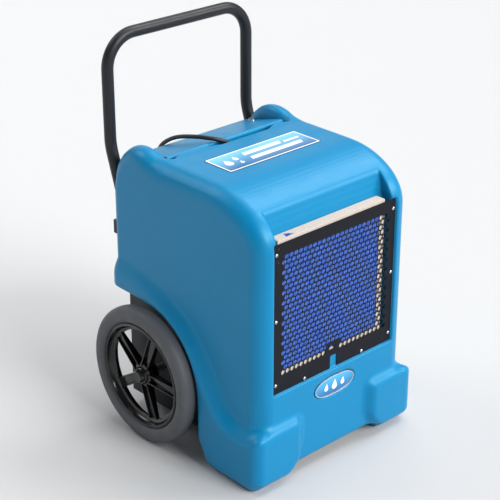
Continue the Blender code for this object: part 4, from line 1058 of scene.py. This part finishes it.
# --- wheels ---
def super_arc(middle, half_r, half_w, power, start, end, count):
    """Points of a superellipse in (radius, offset along the axle)."""
    points = []
    for index in range(count + 1):
        turn = radians(start + (end - start) * index / count)
        c, s = cos(turn), sin(turn)
        points.append((middle + half_r * abs(c) ** (2 / power) * (1 if c > 0 else -1),
                       half_w * abs(s) ** (2 / power) * (1 if s > 0 else -1)))
    return points


def make_wheel(side, name):
    body = "wheel_" + name
    centre = (side * WHEEL_X, AXLE_DEPTH, AXLE_HEIGHT)
    outward = (side, 0, 0)
    half_width = (TYRE_HIGH[0] - TYRE_LOW[0]) / 2
    seat = 116.0
    middle = (WHEEL_RADIUS + seat) / 2
    section = super_arc(middle, WHEEL_RADIUS - middle, half_width, 2.5, 168, -168, 44)
    tyre = piece("tyre_round_" + name, turned(section, centre, outward, 128), RUBBER,
                 body, 60.0)
    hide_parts("tyre_" + name)
    beads = merged(*[turned([(r, off - 0.5), (r + 0.7, off), (r, off + 0.5), (r - 0.7, off)], centre,
                            outward, 128) for r, off in ((125.0, 17.6), (125.0, -17.6))])
    piece("tyre_bead_" + name, beads, RUBBER, body, 60.0)

    half_rim = [(118.5, 12.0), (117.5, 15.0), (114.5, 16.4), (111.5, 15.4), (110.0, 12.0),
                (109.0, 7.0), (104.5, 3.0), (100.5, 2.0), (99.5, 0.0)]
    mirrored = [(r, -offset) for r, offset in half_rim[-2:0:-1]]
    rim_profile = [(118.5, -12.0)] + half_rim + mirrored
    meshes = [turned(rim_profile[::-1], centre, outward, 128)]
    hub = [(12.0, -19.5), (24.0, -19.5), (27.0, -16.0), (27.5, 2.0), (26.0, 6.0), (19.5, 8.0),
           (18.5, 12.5), (17.0, 14.0), (12.0, 14.0)]
    meshes.append(turned(hub[::-1], centre, outward, 64))
    inner, outer = 20.0, 101.5
    for index in range(5):
        bm = bmesh.new()
        for edge in (-1, 1):
            add_bar(bm, inner, outer, (edge * 9.6, edge * 11.2), 1.4, (-9.0, 9.5), (-4.0, 4.6))
        add_bar(bm, inner, outer, (0.0, 0.0), 10.0, (-6.0, 2.5), (-3.5, 1.5))
        spoke = mesh_of(bm)
        spin = Matrix.Rotation(side * radians(-72.0 * index - 20.0), 4, "X")
        turn_out = Matrix.Scale(side, 4, (1, 0, 0))
        spoke.transform(Matrix.Translation(at(*centre)) @ spin @ turn_out)
        if side < 0:
            spoke.flip_normals()
        meshes.append(bevelled(spoke, 0.8, 2))
    rim = piece("rim_spoked_" + name, merged(*meshes), GLOSS, body, 40.0)
    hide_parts("rim_" + name)
    softened("axle_cap_" + name, 1.5, GLOSS, 3)


def add_bar(bm, inner, outer, offsets, half, span_in, span_out):
    """Tapered radial bar; x is the offset along the axle, y across the bar and z along the radius."""
    corners = []
    for radius, across, (low, high) in ((inner, offsets[0], span_in), (outer, offsets[1], span_out)):
        corners.append([bm.verts.new(Vector((x, across + y, radius)) * MM)
                        for x, y in ((low, -half), (high, -half), (high, half), (low, half))])
    first, second = corners
    bm.faces.new(first)
    bm.faces.new(second[::-1])
    for k in range(4):
        bm.faces.new((first[k], second[k], second[(k + 1) % 4], first[(k + 1) % 4]))


# --- rear: guard, panel and controls ---
def make_rear():
    """Wire fan guard in place of the flat one; panel, tray and controls keep their shapes, softened."""
    x, depth, height = middle_of("fan_guard")
    centre = (x, height)
    outer = (GUARD_HIGH[0] - GUARD_LOW[0]) / 2
    wires = []
    radius = outer - 2.0
    while radius > 24.0:
        ring = [(x, depth + 0.6, z) for x, z in circle(centre, radius, 72)]
        wires.append(tube(ring, 0.9, 3, True))
        radius -= 8.0
    for index in range(6):
        turn = pi * index / 3 + 0.3
        ends = [(centre[0] + r * cos(turn), depth - 0.8, centre[1] + r * sin(turn))
                for r in (22.0, outer - 2.0)]
        wires.append(tube(ends, 1.3, 3))
    hub = slab([circle(centre, 23.0, 48)], "Y", (depth - 1.4, depth + 1.4))
    guard = piece("guard_wires", merged(bevelled(hub, 0.6), *wires), BLACK, "root", 50.0)
    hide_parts("fan_guard")
    for name, width, finish in (("rear_panel", 0.5, BLACK), ("base_tray", 0.8, BLACK),
                                ("control_plate", 0.7, GREY), ("hour_meter", 1.0, GLOSS),
                                ("power_switch", 0.7, RED), ("purge_button", 1.0, MATTE),
                                ("breaker_button", 0.8, RED), ("drain_connector", 0.8, BRASS),
                                ("cord_gland", 0.6, MATTE)):
        softened(name, width, finish)
    low, high = node_box("hour_meter")
    face = high[1]
    window = rectangle(low[0] + 4.0, low[2] + 6.0, high[0] - 4.0, high[2] - 6.0)
    piece("meter_window", slab([window], "Y", (face - 0.4, face + 0.15)), WHITE_INK)
    drums = merged(*[slab([rectangle(x - 1.7, low[2] + 7.5, x + 1.7, high[2] - 7.5)], "Y",
                          (face, face + 0.25)) for x in np.linspace(low[0] + 8.0, high[0] - 8.0, 6)])
    piece("meter_drums", drums, INK)


finish_nodes()
make_camera()
make_stage()
make_lights()
make_cord()
make_housing()
make_deck()
make_label()
make_badge()
make_grille()
make_filter()
make_handle()
make_wheel(-1, "left")
make_wheel(1, "right")
make_rear()
